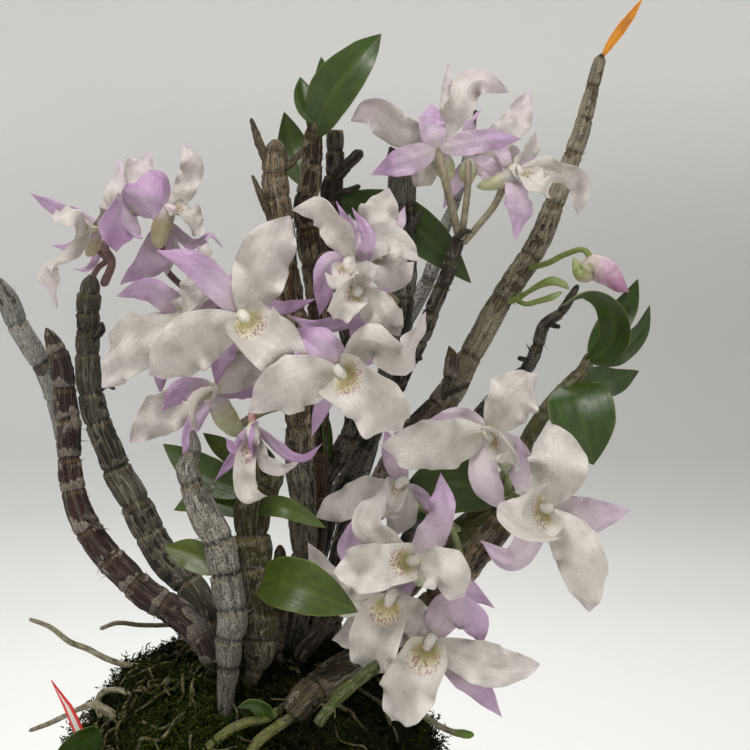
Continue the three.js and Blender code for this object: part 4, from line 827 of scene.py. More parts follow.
def tube_faces(rings, sides):
    """Quads between rings, and fans onto two poles that follow the rings"""
    ring, corner = np.meshgrid(np.arange(rings - 1), np.arange(sides), indexing="ij")
    a = (ring * sides + corner).ravel()
    b = (ring * sides + (corner + 1) % sides).ravel()
    quads = np.stack([a, b, b + sides, a + sides], 1)
    corner = np.arange(sides)
    after = (corner + 1) % sides
    first = np.full(sides, rings * sides)
    last = (rings - 1) * sides
    ends = np.stack([after, corner, first], 1)
    others = np.stack([last + corner, last + after, first + 1], 1)
    return quads, np.concatenate([ends, others])


def ring_ways(sides, normal, side):
    """The ways out from the middle of each ring of a tube to its corners"""
    angle = 2 * np.pi * np.arange(sides) / sides
    return normal[:, None] * np.cos(angle)[None, :, None] - side[:, None] * np.sin(angle)[None, :, None]


def capped(rings, first=None, last=None):
    """The rows of all rings, with those of the two poles at the end"""
    first = rings[0, :1] if first is None else first
    last = rings[-1, :1] if last is None else last
    return np.concatenate([rings.reshape(-1, rings.shape[-1]), first, last])


def limb(skin, rows, tone, sides=12, pitch=0.6, shift=0.0, lumps=0.0, marks=(0, 0, 0)):
    """A round-ended limb through rows of across, down, depth and width. tone is a function of
    the share along the limb and of the noise over it."""
    line = Line([seen(row) for row in rows], (0, -1, 0.2))
    count = max(int(line.length / pitch), 6)
    at = np.linspace(0, line.length, count + 1)
    place, _, normal, side, span = line.frames(at)
    radius = np.interp(span, np.arange(len(rows)), [row[3] for row in rows]) * PIXEL / 2
    ease = max(radius.max() * 0.9, 0.5)
    for reach in (at, line.length - at):
        radius = radius * np.sqrt(1 - (1 - np.clip(reach / ease, 0.06, 1)) ** 2)
    angle = 2 * np.pi * np.arange(sides) / sides
    grain = np.empty((count + 1, sides, 3))
    grain[..., 0] = 2 * np.cos(angle)
    grain[..., 1] = 2 * np.sin(angle)
    grain[..., 2] = at[:, None]
    grain += shift
    bumps = rough(grain * 0.9, 3, shift)
    reach = radius[:, None] * (1 + lumps * bumps)
    points = capped(place[:, None] + ring_ways(sides, normal, side) * reach[..., None], place[:1], place[-1:])
    colours = capped(tone(np.broadcast_to((at / line.length)[:, None], bumps.shape), bumps))
    quads, threes = tube_faces(count + 1, sides)
    sure = np.concatenate([(0.72 + 0.4 * bumps).ravel(), [0.8, 0.8]])[:, None]
    skin.add(points, colours, capped(grain), quads, threes, marks, np.hstack([colours * 0.5, sure]))


# Blades: sepals, petals, lips and leaves are closed shells with thin, waved edges

OUTLINES = {
    "sepal": {"bias": 0.8, "round": 0.7, "tip": 0.95, "base": 0.3, "cup": -0.1, "wave": 0.05, "layer": -1.8},
    "petal": {"bias": 1.05, "round": 0.6, "tip": 0.85, "base": 0.15, "cup": -0.08, "wave": 0.16, "layer": 0},
    "lip": {"bias": 0.9, "round": 0.6, "tip": 0.9, "base": 0.2, "cup": 0.45, "wave": 0.06, "layer": 1.6},
    "leaf": {"bias": 0.85, "round": 0.7, "tip": 0.85, "base": 0.2, "cup": 0.16, "wave": 0.02, "layer": 0},
}
RUFFLES = {"sepal": 0.19, "petal": 0.34, "lip": 0.3, "leaf": 0.03}
FOLDS = {"sepal": 0.4, "petal": 0.35, "lip": 0.25, "leaf": 0.3}
THICK = {"sepal": 0.55, "petal": 0.45, "lip": 0.45, "leaf": 0.7}
LIP_SHARES = [0, 0.05, 0.12, 0.22, 0.34, 0.44, 0.58, 0.7, 0.82, 0.92, 1]
LIP_WIDTHS = [0.3, 0.5, 0.86, 1.12, 1.1, 0.94, 0.98, 0.96, 0.74, 0.4, 0.04]


def fullness(kind, share):
    """How full a blade is along its length, from 0 to 1 of its half width"""
    shape = OUTLINES[kind]
    if kind == "lip":
        marks = np.linspace(0, 1, 201)
        widths = np.interp(marks, LIP_SHARES, LIP_WIDTHS)
        widths = np.convolve(np.pad(widths, 10, "edge"), np.full(21, 1 / 21), "valid")
        widths = widths * np.minimum(1, np.sqrt((1.0001 - marks) / 0.08))
        return np.interp(share, marks, widths)
    power = shape["round"] + (shape["tip"] - shape["round"]) * smooth(0.55, 0.95, share)
    swell = np.clip(np.sin(np.pi * share ** shape["bias"]), 0, 1) ** power
    return np.maximum(swell, shape["base"] * (1 - share) ** 2)


def shell_faces(rows, columns):
    """Faces of a closed shell of two grids, top then bottom, joined around the border"""
    row, column = np.meshgrid(np.arange(rows - 1), np.arange(columns - 1), indexing="ij")
    a = (row * columns + column).ravel()
    top = np.stack([a, a + columns, a + columns + 1, a + 1], 1)
    under = top[:, ::-1] + rows * columns
    border = [k for k in range(columns)]
    border += [k * columns + columns - 1 for k in range(1, rows)]
    border += [(rows - 1) * columns + k for k in range(columns - 2, -1, -1)]
    border += [k * columns for k in range(rows - 2, 0, -1)]
    edge = np.array(border)
    after = np.roll(edge, -1)
    wall = np.stack([edge, after, after + rows * columns, edge + rows * columns], 1)
    return np.concatenate([top, under, wall])


def blade(skin, kind, width, turn, rows, facing, tint, seed, steps=26, sides=14):
    """tint is a function of the share along, the share across and the noise, for each face"""
    chance = np.random.default_rng(seed)
    shape = OUTLINES[kind]
    facing = np.asarray(facing, float)
    line = Line([seen(row) + facing * shape["layer"] for row in rows], facing)
    share = 1 - (1 - np.linspace(0, 1, steps + 1)) ** 1.35
    place, along, normal, side, _ = line.frames(share * line.length)
    lean = np.radians(turn + chance.uniform(-10, 10) * share)[:, None]
    up = normal * np.cos(lean) + np.cross(along, normal) * np.sin(lean)
    right = side * np.cos(lean) + np.cross(along, side) * np.sin(lean)
    half = np.maximum(width * PIXEL / 2 * fullness(kind, share), 0.12)[:, None]
    edge = np.sin(np.linspace(-np.pi / 2, np.pi / 2, sides + 1) * 0.92) / math.sin(np.pi / 2 * 0.92)
    edge = edge[None, :]
    t = share[:, None]
    grain = np.empty((steps + 1, sides + 1, 3))
    grain[..., 0] = edge * half
    grain[..., 1] = t * line.length
    grain[..., 2] = seed * 3.7
    phases = chance.uniform(0, 2 * np.pi, 4)
    waves = np.where(
        edge < 0,
        np.sin(2 * np.pi * (2.1 * t) + phases[0]) + 0.5 * np.sin(2 * np.pi * 4.3 * t + phases[1]),
        np.sin(2 * np.pi * (2.6 * t) + phases[2]) + 0.5 * np.sin(2 * np.pi * 4.9 * t + phases[3]),
    )
    calm = smooth(0.12, 0.45, t)
    beat = np.sin(2 * np.pi * (1.5 * t + width / 17))
    reach = half * edge
    height = half * shape["cup"] * edge**2
    if kind == "lip":
        roll = 0.12 + 1.5 * (1 - smooth(0.2, 0.6, t))
        reach = half * np.sin(edge * roll) / roll
        height = half * (1 - np.cos(edge * roll)) / roll
        height = height + half * 0.34 * edge**2 * smooth(0.3, 0.6, t) * smooth(1.0, 0.75, t)
    height = height + half * shape["wave"] * beat * edge * np.abs(edge)
    height = height + half * RUFFLES[kind] * waves * np.abs(edge) ** 2.4 * calm
    keel = np.exp(-((edge * half / 0.8) ** 2)) * smooth(0, 0.2, t) * (1 - smooth(0.7, 1, t))
    height = height - FOLDS[kind] * keel
    crinkle = rough(grain * np.array([0.34, 0.24, 1]), 3, seed)
    if kind != "leaf":
        broad = noise(grain * np.array([0.2, 0.15, 1]), seed + 3)
        fine = rough(grain * np.array([0.7, 0.3, 1]), 2, seed + 7)
        height = height + (0.65 * crinkle + 2.3 * broad + 0.18 * fine) * calm * np.minimum(half / 3, 1)
    side_of = np.broadcast_to(np.sign(edge)[..., None], grain[..., :1].shape)
    border = np.concatenate([grain[..., 1:2], side_of * 4, grain[..., 2:]], -1)
    nicks = 0.08 * noise(border * np.array([0.22, 1, 1])) + 0.03 * noise(border * np.array([0.5, 1, 1]), 5.0)
    trim = 1 + nicks * calm * (0.35 if kind == "leaf" else 1)
    middle = place[:, None] + right[:, None] * (reach * trim)[..., None] + up[:, None] * height[..., None]
    thick = THICK[kind] / 2 * (1 - 0.7 * np.abs(edge) ** 3) * (1 - 0.5 * smooth(0.75, 1, t))
    offset = up[:, None] * thick[..., None]
    points = np.concatenate([(middle + offset).reshape(-1, 3), (middle - offset).reshape(-1, 3)])
    t = np.broadcast_to(t, crinkle.shape)
    across = np.broadcast_to(edge, crinkle.shape)
    tones = np.concatenate([tint(t, across, crinkle, side_up).reshape(-1, 3) for side_up in (True, False)])
    grains = np.concatenate([grain.reshape(-1, 3), grain.reshape(-1, 3)])
    marks = np.zeros((len(points), 3))
    if kind == "lip":
        freckles = smooth(0.14, 0.24, t) * smooth(0.46, 0.36, t + 0.15 * across**2)
        freckles = freckles * smooth(0.7, 0.45, np.abs(across))
        marks[: len(points) // 2, 0] = freckles.ravel()
    skin.add(points, tones, grains, shell_faces(steps + 1, sides + 1), marks=marks)

# Materials

SHINE = "Specular IOR Level"


class Nodes:
    """A short way to write a node tree"""

    def __init__(self, name):
        self.material = bpy.data.materials.new(name)
        self.material.use_nodes = True
        self.tree = self.material.node_tree
        self.tree.nodes.clear()

    def add(self, kind, inputs=(), **settings):
        node = self.tree.nodes.new(kind)
        for key, value in settings.items():
            setattr(node, key, value)
        for socket, value in dict(inputs).items():
            if isinstance(value, bpy.types.NodeSocket):
                self.tree.links.new(value, node.inputs[socket])
            else:
                node.inputs[socket].default_value = value
        return node

    def attribute(self, name):
        node = self.add("ShaderNodeAttribute", attribute_type="GEOMETRY", attribute_name=name)
        return node.outputs["Color"] if name == "tone" else node.outputs["Vector"]

    def stretched(self, vector, scale):
        node = self.add("ShaderNodeVectorMath", {0: vector, 1: scale}, operation="MULTIPLY")
        return node.outputs[0]

    def noise(self, vector, scale, detail=3.0, roughness=0.5):
        settings = {"Vector": vector, "Scale": scale, "Detail": detail, "Roughness": roughness}
        return self.add("ShaderNodeTexNoise", settings, noise_dimensions="3D").outputs["Fac"]

    def ramp(self, value, low, high, start=0.0, end=1.0):
        inputs = {"Value": value, "From Min": low, "From Max": high, "To Min": start, "To Max": end}
        return self.add("ShaderNodeMapRange", inputs).outputs[0]

    def math(self, operation, first, second):
        return self.add("ShaderNodeMath", {0: first, 1: second}, operation=operation).outputs[0]

    def shaded(self, colour, amount):
        """The colour times a grey value"""
        node = self.add("ShaderNodeMix", data_type="RGBA", blend_type="MULTIPLY")
        node.inputs[0].default_value = 1.0
        self.tree.links.new(colour, node.inputs[6])
        self.tree.links.new(amount, node.inputs[7])
        return node.outputs[2]

    def tinted(self, colour, other, share):
        """The colour with a share of another, which is given as the eye sees it"""
        node = self.add("ShaderNodeMix", data_type="RGBA")
        self.tree.links.new(share, node.inputs[0])
        self.tree.links.new(colour, node.inputs[6])
        node.inputs[7].default_value = (*linear(other), 1)
        return node.outputs[2]

    def bump(self, height, strength, distance):
        inputs = {"Height": height, "Strength": strength, "Distance": distance}
        return self.add("ShaderNodeBump", inputs).outputs[0]

    def principled(self, colour, roughness, normal, **more):
        inputs = {"Base Color": colour, "Roughness": roughness, "Normal": normal}
        return self.add("ShaderNodeBsdfPrincipled", {**inputs, **more}).outputs[0]

    def surface(self, shader):
        out = self.add("ShaderNodeOutputMaterial")
        self.tree.links.new(shader, out.inputs["Surface"])
        return self.material


def petal_material():
    n = Nodes("petal")
    grain = n.attribute("grain")
    veins = n.noise(n.stretched(grain, (1.1, 0.07, 1.0)), 1.3, 2.0)
    cells = n.noise(grain, 1.1, 4.0, 0.62)
    soft = n.noise(grain, 0.22, 2.0)
    tint = n.math("MULTIPLY", n.ramp(veins, 0.35, 0.6, 0.955, 1.01), n.ramp(cells, 0.3, 0.7, 0.95, 1.03))
    tint = n.math("MULTIPLY", tint, n.ramp(soft, 0.3, 0.7, 0.95, 1.02))
    colour = n.shaded(n.attribute("tone"), tint)
    freckled = n.add("ShaderNodeSeparateXYZ", {0: n.attribute("marks")}).outputs[0]
    dots = n.ramp(n.noise(n.stretched(grain, (1.5, 0.8, 1.0)), 1.25, 1.0), 0.5, 0.58)
    colour = n.tinted(colour, (0.56, 0.33, 0.40), n.math("MULTIPLY", dots, n.math("MULTIPLY", freckled, 0.75)))
    height = n.math("ADD", n.math("MULTIPLY", veins, 0.45), n.math("MULTIPLY", cells, 0.9))
    normal = n.bump(height, 0.5, 0.0008)
    skin = n.principled(colour, n.ramp(cells, 0.3, 0.7, 0.3, 0.46), normal)
    glow = n.add("ShaderNodeBsdfTranslucent", {"Color": colour, "Normal": normal}).outputs[0]
    both = n.add("ShaderNodeMixShader", {0: 0.3, 1: skin, 2: glow}).outputs[0]
    return n.surface(both)


def bark_material():
    n = Nodes("bark")
    grain = n.attribute("grain")
    marks = n.add("ShaderNodeSeparateXYZ", {0: n.attribute("marks")}).outputs
    streaks = n.noise(n.stretched(grain, (2.2, 2.2, 0.2)), 1.2, 4.0, 0.62)
    specks = n.noise(n.stretched(grain, (1.0, 1.0, 0.6)), 2.3, 3.0, 0.62)
    grit = n.noise(grain, 3.4, 2.0, 0.6)
    tint = n.math("MULTIPLY", n.ramp(streaks, 0.32, 0.68, 0.66, 1.34), n.ramp(grit, 0.3, 0.7, 0.76, 1.24))
    under = n.add("ShaderNodeAttribute", attribute_type="GEOMETRY", attribute_name="under").outputs
    ragged = n.noise(n.stretched(grain, (1.0, 1.0, 0.32)), 1.1, 4.0, 0.65)
    sure = n.math("ADD", under["Alpha"], n.math("MULTIPLY", n.math("SUBTRACT", ragged, 0.5), 0.9))
    kept = n.ramp(sure, 0.47, 0.53)
    both = n.add("ShaderNodeMix", data_type="RGBA")
    for socket, value in ((0, kept), (6, under["Color"]), (7, n.attribute("tone"))):
        n.tree.links.new(value, both.inputs[socket])
    lip = n.math("MULTIPLY", n.ramp(sure, 0.47, 0.53), n.ramp(sure, 0.66, 0.56))
    colour = n.shaded(n.tinted(both.outputs[2], (0.62, 0.59, 0.53), n.math("MULTIPLY", lip, 0.4)), tint)
    waved = n.noise(n.stretched(grain, (0.62, 0.62, 0.05)), 1.0, 1.5)
    fibres = n.ramp(n.math("ABSOLUTE", n.math("SUBTRACT", waved, 0.5), 0.0), 0.0, 0.03, 1.0, 0.0)
    fibres = n.math("MULTIPLY", fibres, n.ramp(specks, 0.35, 0.6, 0.6, 1.0))
    fibres = n.math("MULTIPLY", fibres, marks[0])
    colour = n.tinted(colour, (0.60, 0.58, 0.52), fibres)
    spots = n.math("MULTIPLY", n.ramp(specks, 0.5, 0.62), marks[1])
    colour = n.tinted(colour, (0.17, 0.15, 0.13), spots)
    split = n.noise(n.stretched(grain, (1.1, 1.1, 0.07)), 1.0, 2.0)
    cracks = n.ramp(n.math("ABSOLUTE", n.math("SUBTRACT", split, 0.5), 0.0), 0.0, 0.03, 1.0, 0.0)
    cracks = n.math("MULTIPLY", cracks, marks[2])
    colour = n.tinted(colour, (0.07, 0.06, 0.05), cracks)
    height = n.math("ADD", streaks, n.math("MULTIPLY", grit, 0.35))
    height = n.math("ADD", height, n.math("MULTIPLY", fibres, 0.5))
    height = n.math("SUBTRACT", height, n.math("ADD", n.math("MULTIPLY", spots, 0.5), cracks))
    height = n.math("ADD", height, n.math("MULTIPLY", kept, 0.7))
    dull = n.ramp(grit, 0.3, 0.7, 0.62, 0.9)
    return n.surface(n.principled(colour, dull, n.bump(height, 0.9, 0.0007), **{SHINE: 0.25}))


def leaf_material():
    n = Nodes("leaf")
    grain = n.attribute("grain")
    veins = n.noise(n.stretched(grain, (1.2, 0.03, 1.0)), 1.3, 2.0)
    mottle = n.noise(grain, 0.5, 3.0)
    tint = n.math("MULTIPLY", n.ramp(veins, 0.35, 0.65, 0.93, 1.06), n.ramp(mottle, 0.3, 0.7, 0.9, 1.1))
    colour = n.shaded(n.attribute("tone"), tint)
    height = n.math("ADD", veins, n.math("MULTIPLY", mottle, 0.5))
    dull = n.ramp(mottle, 0.3, 0.7, 0.36, 0.5)
    return n.surface(n.principled(colour, dull, n.bump(height, 0.22, 0.0004), **{SHINE: 0.4}))


def moss_material():
    n = Nodes("moss")
    grain = n.attribute("grain")
    grit = n.noise(grain, 1.8, 3.0)
    colour = n.shaded(n.attribute("tone"), n.ramp(grit, 0.3, 0.7, 0.7, 1.3))
    return n.surface(n.principled(colour, 0.85, n.bump(grit, 0.5, 0.0008), **{SHINE: 0.08}))


def glaze_material():
    n = Nodes("glaze")
    place = n.add("ShaderNodeTexCoord").outputs["Object"]
    cloud = n.noise(place, 22.0, 4.0)
    fine = n.noise(place, 420.0, 2.0)
    colour = n.shaded(n.attribute("tone"), n.ramp(cloud, 0.3, 0.7, 0.8, 1.25))
    normal = n.bump(n.math("ADD", cloud, n.math("MULTIPLY", fine, 0.3)), 0.06, 0.0004)
    return n.surface(n.principled(colour, n.ramp(cloud, 0.3, 0.7, 0.24, 0.36), normal))


def card_material(name, colour):
    n = Nodes(name)
    place = n.add("ShaderNodeTexCoord").outputs["Object"]
    fibre = n.noise(place, 900.0, 3.0)
    base = n.add("ShaderNodeMix", data_type="RGBA")
    base.inputs[6].default_value = (*linear(colour) * 0.92, 1)
    base.inputs[7].default_value = (*np.clip(linear(colour) * 1.06, 0, 1), 1)
    n.tree.links.new(fibre, base.inputs[0])
    return n.surface(n.principled(base.outputs[2], 0.5, n.bump(fibre, 0.1, 0.0002)))


PETAL = petal_material()
BARK = bark_material()
LEAF = leaf_material()
MOSS = moss_material()
GLAZE = glaze_material()
LABEL_EDGE = card_material("label_edge", (0.78, 0.16, 0.14))
LABEL_FACE = card_material("label_face", (0.80, 0.78, 0.75))

READ_VALUES = {PETAL: ("tone", "grain", "marks"), BARK: ("tone", "grain", "marks", "under")}

# Canes: jointed stems with a groove and ring at each joint and the rest of a papery sheath between


CANE_PITCH = 0.64
CANE_SIDES = 28


def cane_stem(skin, rows, look, seed, flat_top):
    chance = np.random.default_rng(seed)
    line = Line([seen(row) for row in rows], (0, -1, 0.2))
    count = int(line.length / CANE_PITCH)
    at = np.linspace(0, line.length, count + 1)
    place, along, normal, side, span = line.frames(at)
    widths = [row[3] for row in rows]
    radius = np.interp(span, np.arange(len(rows)), widths) * PIXEL / 2
    down = np.interp(span, np.arange(len(rows)), [row[1] for row in rows])

    joints = np.interp(look["joints"], down, at)
    ends = np.concatenate([[joints[0] - 9], joints, [line.length + 4]])
    part = np.clip(np.searchsorted(ends, at, side="right") - 1, 0, len(ends) - 2)
    long = ends[part + 1] - ends[part]
    low = at - ends[part]
    high = ends[part + 1] - at
    near = np.minimum(low, high)

    a = 2 * np.pi * np.arange(CANE_SIDES)[None, :] / CANE_SIDES
    ring = np.stack([np.cos(a) + 0 * at[:, None], np.sin(a) + 0 * at[:, None], 0 * a + at[:, None]], -1)
    width = radius.max()
    grain = ring * np.array([width, width, 1]) + seed * 5.1
    streaks = rough(ring * np.array([3.2, 3.2, 0.12]) + part[:, None, None] * 3.3, 3, seed)
    blotch = rough(ring * np.array([1.6, 1.6, 0.45]), 3, seed + 4)
    speck = rough(grain * 1.6, 2, seed + 9)

    # The sheath of each part rises from its lower joint and ends in a ragged edge
    top = chance.uniform(0.0, 0.45, len(ends))[part] * (1.3 - look["cover"])
    ragged = top[:, None] + 0.14 * noise(ring * np.array([1.7, 1.7, 0]) + part[:, None, None] * 2.7)
    share = (low / long)[:, None]
    sheath = smooth(-0.02, 0.03, share - ragged)
    collar = look.get("collar", 0.3) * (np.exp(-((near / 2.4) ** 2)) - 0.35)[:, None]
    luck = chance.uniform(-0.3, 0.3, len(ends))[part][:, None]
    left = smooth(-0.05, 0.05, look["cover"] * 1.5 - 0.75 + 0.6 * blotch + 0.45 * streaks + collar + luck)
    wrapped = np.isin(part, look.get("wraps", ()))[:, None] * 1.0
    left = np.maximum(left, wrapped)
    sheath = np.maximum(sheath, wrapped * smooth(0.02, 0.08, share))
    sheath = sheath * (1 - look.get("peel", 0.35) * (1 - left))

    barrel = 0.05 * look.get("barrel", 1) * (np.sin(np.pi * np.clip(low / long, 0, 1)) ** 0.7 - 0.3)
    groove = -0.09 * np.exp(-((near / 0.4) ** 2)) + 0.06 * np.exp(-(((low - 1.0) / 0.6) ** 2))
    ribs = look["ribs"] * np.cos(a * chance.integers(7, 11) + part[:, None] * 1.9 + streaks * 2)
    ribs = ribs * (0.3 + 0.7 * smooth(0, 0.25, np.minimum(share, 1 - share)))
    reach = radius[:, None] * (1 + (barrel + groove)[:, None] + ribs + 0.05 * blotch)
    reach = reach + 0.22 * sheath + 0.12 * speck * look.get("net", 0.3)
    if not flat_top:
        ease = radius[min(6, count)] * 1.3
        reach = reach * np.sqrt(1 - (1 - np.clip(at / ease, 0.08, 1)) ** 2)[:, None]
    out = ring_ways(CANE_SIDES, normal, side)
    outside = place[:, None] + out * reach[..., None]

    bare = linear(look["bare"])
    paper = linear(look["sheath"])
    age = chance.uniform(0.75, 1.3, len(ends))[part][:, None, None]
    under = mixed(bare * 0.55, bare * 1.35, smooth(-0.7, 0.7, streaks + 0.5 * blotch)) * age
    paper = paper * (0.5 + 0.5 * age) * (1 + 0.35 * wrapped[..., None])
    veins = np.cos(a * chance.integers(9, 13) + 0.9 * streaks + 0.3 * blotch) ** 2
    veins = veins**6 * look.get("veins", 0.15)
    film = 0.55 + 0.35 * smooth(-0.6, 0.8, blotch + 0.6 * streaks)
    net = look.get("net", 0.0) * smooth(0.05, 0.5, np.abs(speck + 0.5 * streaks))
    film = np.clip(film - 0.45 * net + veins, 0, 1)
    colour = mixed(under, paper, np.maximum(film, 0.45))
    under = mixed(under, paper * 1.15, veins * 0.6)
    under = mixed(under, paper, 0.25 * (1 - look.get("peel", 0.35)))
    field = 0.5 + 0.9 * (look["cover"] * 1.5 - 0.75 + 0.6 * blotch + 0.45 * streaks + collar + luck)
    field = np.minimum(field, 0.5 + 0.3 * (share - ragged) * long[:, None])
    field = np.maximum(field, wrapped * (0.1 + 0.3 * low[:, None]))
    cover = np.stack([colour, under], 2)
    ringed = look.get("rings", 0.6) * np.exp(-((near / 0.55) ** 2))[:, None] * (0.7 + 0.3 * blotch)
    ringed = ringed[..., None]
    cover = mixed(cover, bare * 0.18, np.clip(ringed, 0, 1))
    pale = 0.4 * np.exp(-(((low - 1.3) / 0.5) ** 2))[:, None] * (0.6 + 0.4 * streaks)
    cover = mixed(cover, linear((0.60, 0.53, 0.36)), np.clip(pale, 0, 1)[..., None])
    cover = cover * (1 - 0.3 * smooth(0.25, 0.8, speck))[..., None, None]
    if "weathered" in look:
        start, grey = look["weathered"]
        worn = smooth(start - 40, start + 30, down)[:, None] * smooth(-0.55, -0.1, streaks + 0.4 * blotch)
        cover = mixed(cover, linear(grey), worn[..., None] * 0.8)
    # Painted shade: each cane darkens to a dark olive-brown low down where the moss shades it, fully below 131 mm
    # and fading out by 158 mm
    painted_shade_by_moss = smooth(30, 3, outside[..., 2] - 128) * (0.65 + 0.35 * blotch)
    cover = mixed(cover, linear((0.13, 0.12, 0.08)), np.clip(painted_shade_by_moss * 0.75, 0, 1)[..., None])
    if flat_top:
        cut = smooth(0.9, 0.2, at)[:, None] + 0 * speck
        cover = mixed(cover, linear((0.66, 0.60, 0.50)), cut[..., None] * 0.8)

    colour, under = (capped(layer, layer[0, :1] * 0.8) for layer in (cover[:, :, 0], cover[:, :, 1]))
    under = np.hstack([under, capped(field[..., None])])
    quads, threes = tube_faces(count + 1, CANE_SIDES)
    strengths = (look.get("veins", 0.3), look.get("specks", 0.4), look.get("cracks", 0.35))
    skin.add(capped(outside, place[:1], place[-1:]), colour, capped(grain), quads, threes, strengths, under)

    number = int(look.get("shreds", 0.6) * line.length)
    joint = chance.integers(1, len(joints), number)
    spot = joints[joint] + np.abs(chance.normal(0, 2.2, number)) - 0.8
    spot = np.where(chance.random(number) < 0.3, chance.uniform(8, line.length - 4, number), spot)
    ring = np.clip((spot / CANE_PITCH).astype(int), 3, count - 3)
    turn = chance.integers(0, CANE_SIDES, number)
    seat = outside[ring, turn]
    fibre = mixed(paper[ring, 0] * 0.55, paper[ring, 0] * 1.15, chance.random(number))
    shreds(skin, seat, along[ring], out[ring, turn], fibre, chance)


def shreds(skin, seat, along, out, tones, chance):
    """Dry fibres and flakes that stand off the joints, each a thin curved spike"""
    number = len(seat)
    sign = np.where(chance.random(number) < 0.75, -1, 1)[:, None]
    way = along * sign + out * chance.uniform(0.05, 0.6, (number, 1)) + chance.normal(0, 0.35, (number, 3))
    way = way / np.linalg.norm(way, axis=1)[:, None]
    side = np.cross(way, out + chance.normal(0, 0.3, (number, 3)))
    side = side / np.linalg.norm(side, axis=1)[:, None]
    lift = np.cross(way, side)
    length = chance.uniform(0.7, 2.4, (number, 1))
    width = chance.uniform(0.14, 0.5, (number, 1))
    curl = out * chance.uniform(-0.25, 0.7, (number, 1)) + side * chance.normal(0, 0.35, (number, 1))
    points = []
    for share in (0, 0.3, 0.65):
        centre = seat - out * 0.25 + way * length * share + curl * length * share**2
        wide = width * (1 - share) ** 0.7
        points += [centre + side * wide, centre + lift * wide * 0.35, centre - side * wide]
    points.append(seat - out * 0.25 + way * length + curl * length)
    points = np.stack(points, 1)
    quads = [[k + a, k + b, k + b + 3, k + a + 3] for k in (0, 3) for a, b in ((0, 1), (1, 2), (2, 0))]
    threes = [[2, 1, 0], [6, 7, 9], [7, 8, 9], [8, 6, 9]]
    start = 10 * np.arange(number)[:, None, None]
    quads = (np.array(quads)[None] + start).reshape(-1, 4)
    threes = (np.array(threes)[None] + start).reshape(-1, 3)
    tones = np.repeat(tones[:, None], 10, 1)
    skin.add(points.reshape(-1, 3), tones.reshape(-1, 3), points.reshape(-1, 3), quads, threes, (0.1, 0.1, 0))


LEAF_FACING = (0, -0.95, 0.3)


def leaf_tint(yellow):
    green = mixed(linear((0.17, 0.25, 0.075)), linear((0.27, 0.305, 0.045)), yellow)
    pale = mixed(linear((0.28, 0.34, 0.15)), linear((0.34, 0.385, 0.12)), yellow)

    def tint(along, across, crinkle, face_up):
        base = green if face_up else pale
        colour = mixed(base * 0.8, base * 1.2, smooth(-0.8, 0.8, crinkle))
        rib = np.exp(-((across / 0.05) ** 2)) * 0.3
        colour = mixed(colour, pale * 1.1, rib)
        rim = smooth(0.94, 1.0, np.abs(across)) * 0.4
        colour = mixed(colour, linear((0.46, 0.48, 0.22)), rim)
        nick = smooth(0.55, 0.8, crinkle) * smooth(0.75, 1.0, np.abs(across))
        nick = np.maximum(nick, smooth(0.965, 1.0, along) * 0.7)
        return mixed(colour, linear((0.30, 0.20, 0.10)), nick)

    return tint


def make_canes():
    for seed, (name, cane) in enumerate(CANES.items(), 1):
        skin = Skin()
        look = CANE_LOOKS[name]
        rows = cane["rows"]
        if name == "cane_long_right":
            rows = rows[3:]
        cane_stem(skin, rows, look, seed, name in FLAT_TOPPED)
        dark = linear(look["bare"]) * 0.8
        light = linear(look["sheath"])

        def stub_tone(share, bumps):
            return mixed(dark, light, smooth(-0.5, 0.8, bumps) * 0.7)

        for k, stub in enumerate(cane.get("stubs", [])):
            limb(skin, stub, stub_tone, 12, 0.3, seed * 11.0 + k, 0.28, (0.4, 0.5, 0.4))
        skin.piece(name + "_stem", BARK, "cane", name)
        if name == "cane_long_right":
            dry = Skin()
            tip = [(602, 57, 24)] + [row[:3] for row in cane["rows"][2::-1]]
            blade(dry, "leaf", 15, 35, tip, (0.35, -0.9, 0.3), dry_tint, 77, steps=34, sides=10)
            dry.piece("dried_leaf", LEAF, "leaf", name)
        leaves = Skin()
        for k, (width, turn, places) in enumerate(cane.get("leaves", [])):
            tint = leaf_tint(LEAF_YELLOW[name][k])
            blade(leaves, "leaf", width, turn, places, LEAF_FACING, tint, seed * 13 + k, 40, 16)
        if leaves.size:
            leaves.piece(name + "_leaves", LEAF, "leaf", name)


def dry_tint(along, across, crinkle, face_up):
    colour = mixed(linear((0.86, 0.55, 0.12)), linear((0.70, 0.38, 0.10)), smooth(-0.5, 0.7, crinkle))
    colour = mixed(colour, linear((0.90, 0.68, 0.28)), np.exp(-((across / 0.15) ** 2)) * 0.4)
    return mixed(colour, linear((0.45, 0.25, 0.12)), smooth(0.12, 0.0, along) * 0.6)


# Roots and buds


def mottled(first, second, bumps, high=0.5):
    return mixed(linear(first), linear(second), smooth(-0.5, high, bumps))


def root_tone(share, bumps):
    velamen = mottled((0.50, 0.47, 0.34), (0.70, 0.68, 0.58), bumps, 0.6)
    return mixed(velamen, linear((0.38, 0.33, 0.20)), smooth(0.1, 0.8, -bumps) * 0.6)


def green_root_tone(share, bumps):
    velamen = mottled((0.30, 0.33, 0.14), (0.46, 0.46, 0.26), bumps, 0.6)
    return mixed(velamen, linear((0.22, 0.20, 0.11)), smooth(0.1, 0.8, -bumps) * 0.6)


def tipped_root_tone(share, bumps):
    return mixed(linear((0.45, 0.58, 0.24)), root_tone(share, bumps), smooth(0.15, 0.3, share))


def make_roots():
    for seed, (name, rows) in enumerate(ROOTS.items(), 40):
        tone = green_root_tone if name.startswith("root_front") else root_tone
        if name == "root_right":
            tone = tipped_root_tone
        skin = Skin()
        limb(skin, rows, tone, 14, 0.4, float(seed), 0.1, (0.2, 0.3, 0.2))
        skin.piece(name + "_fine", BARK, "root", name)


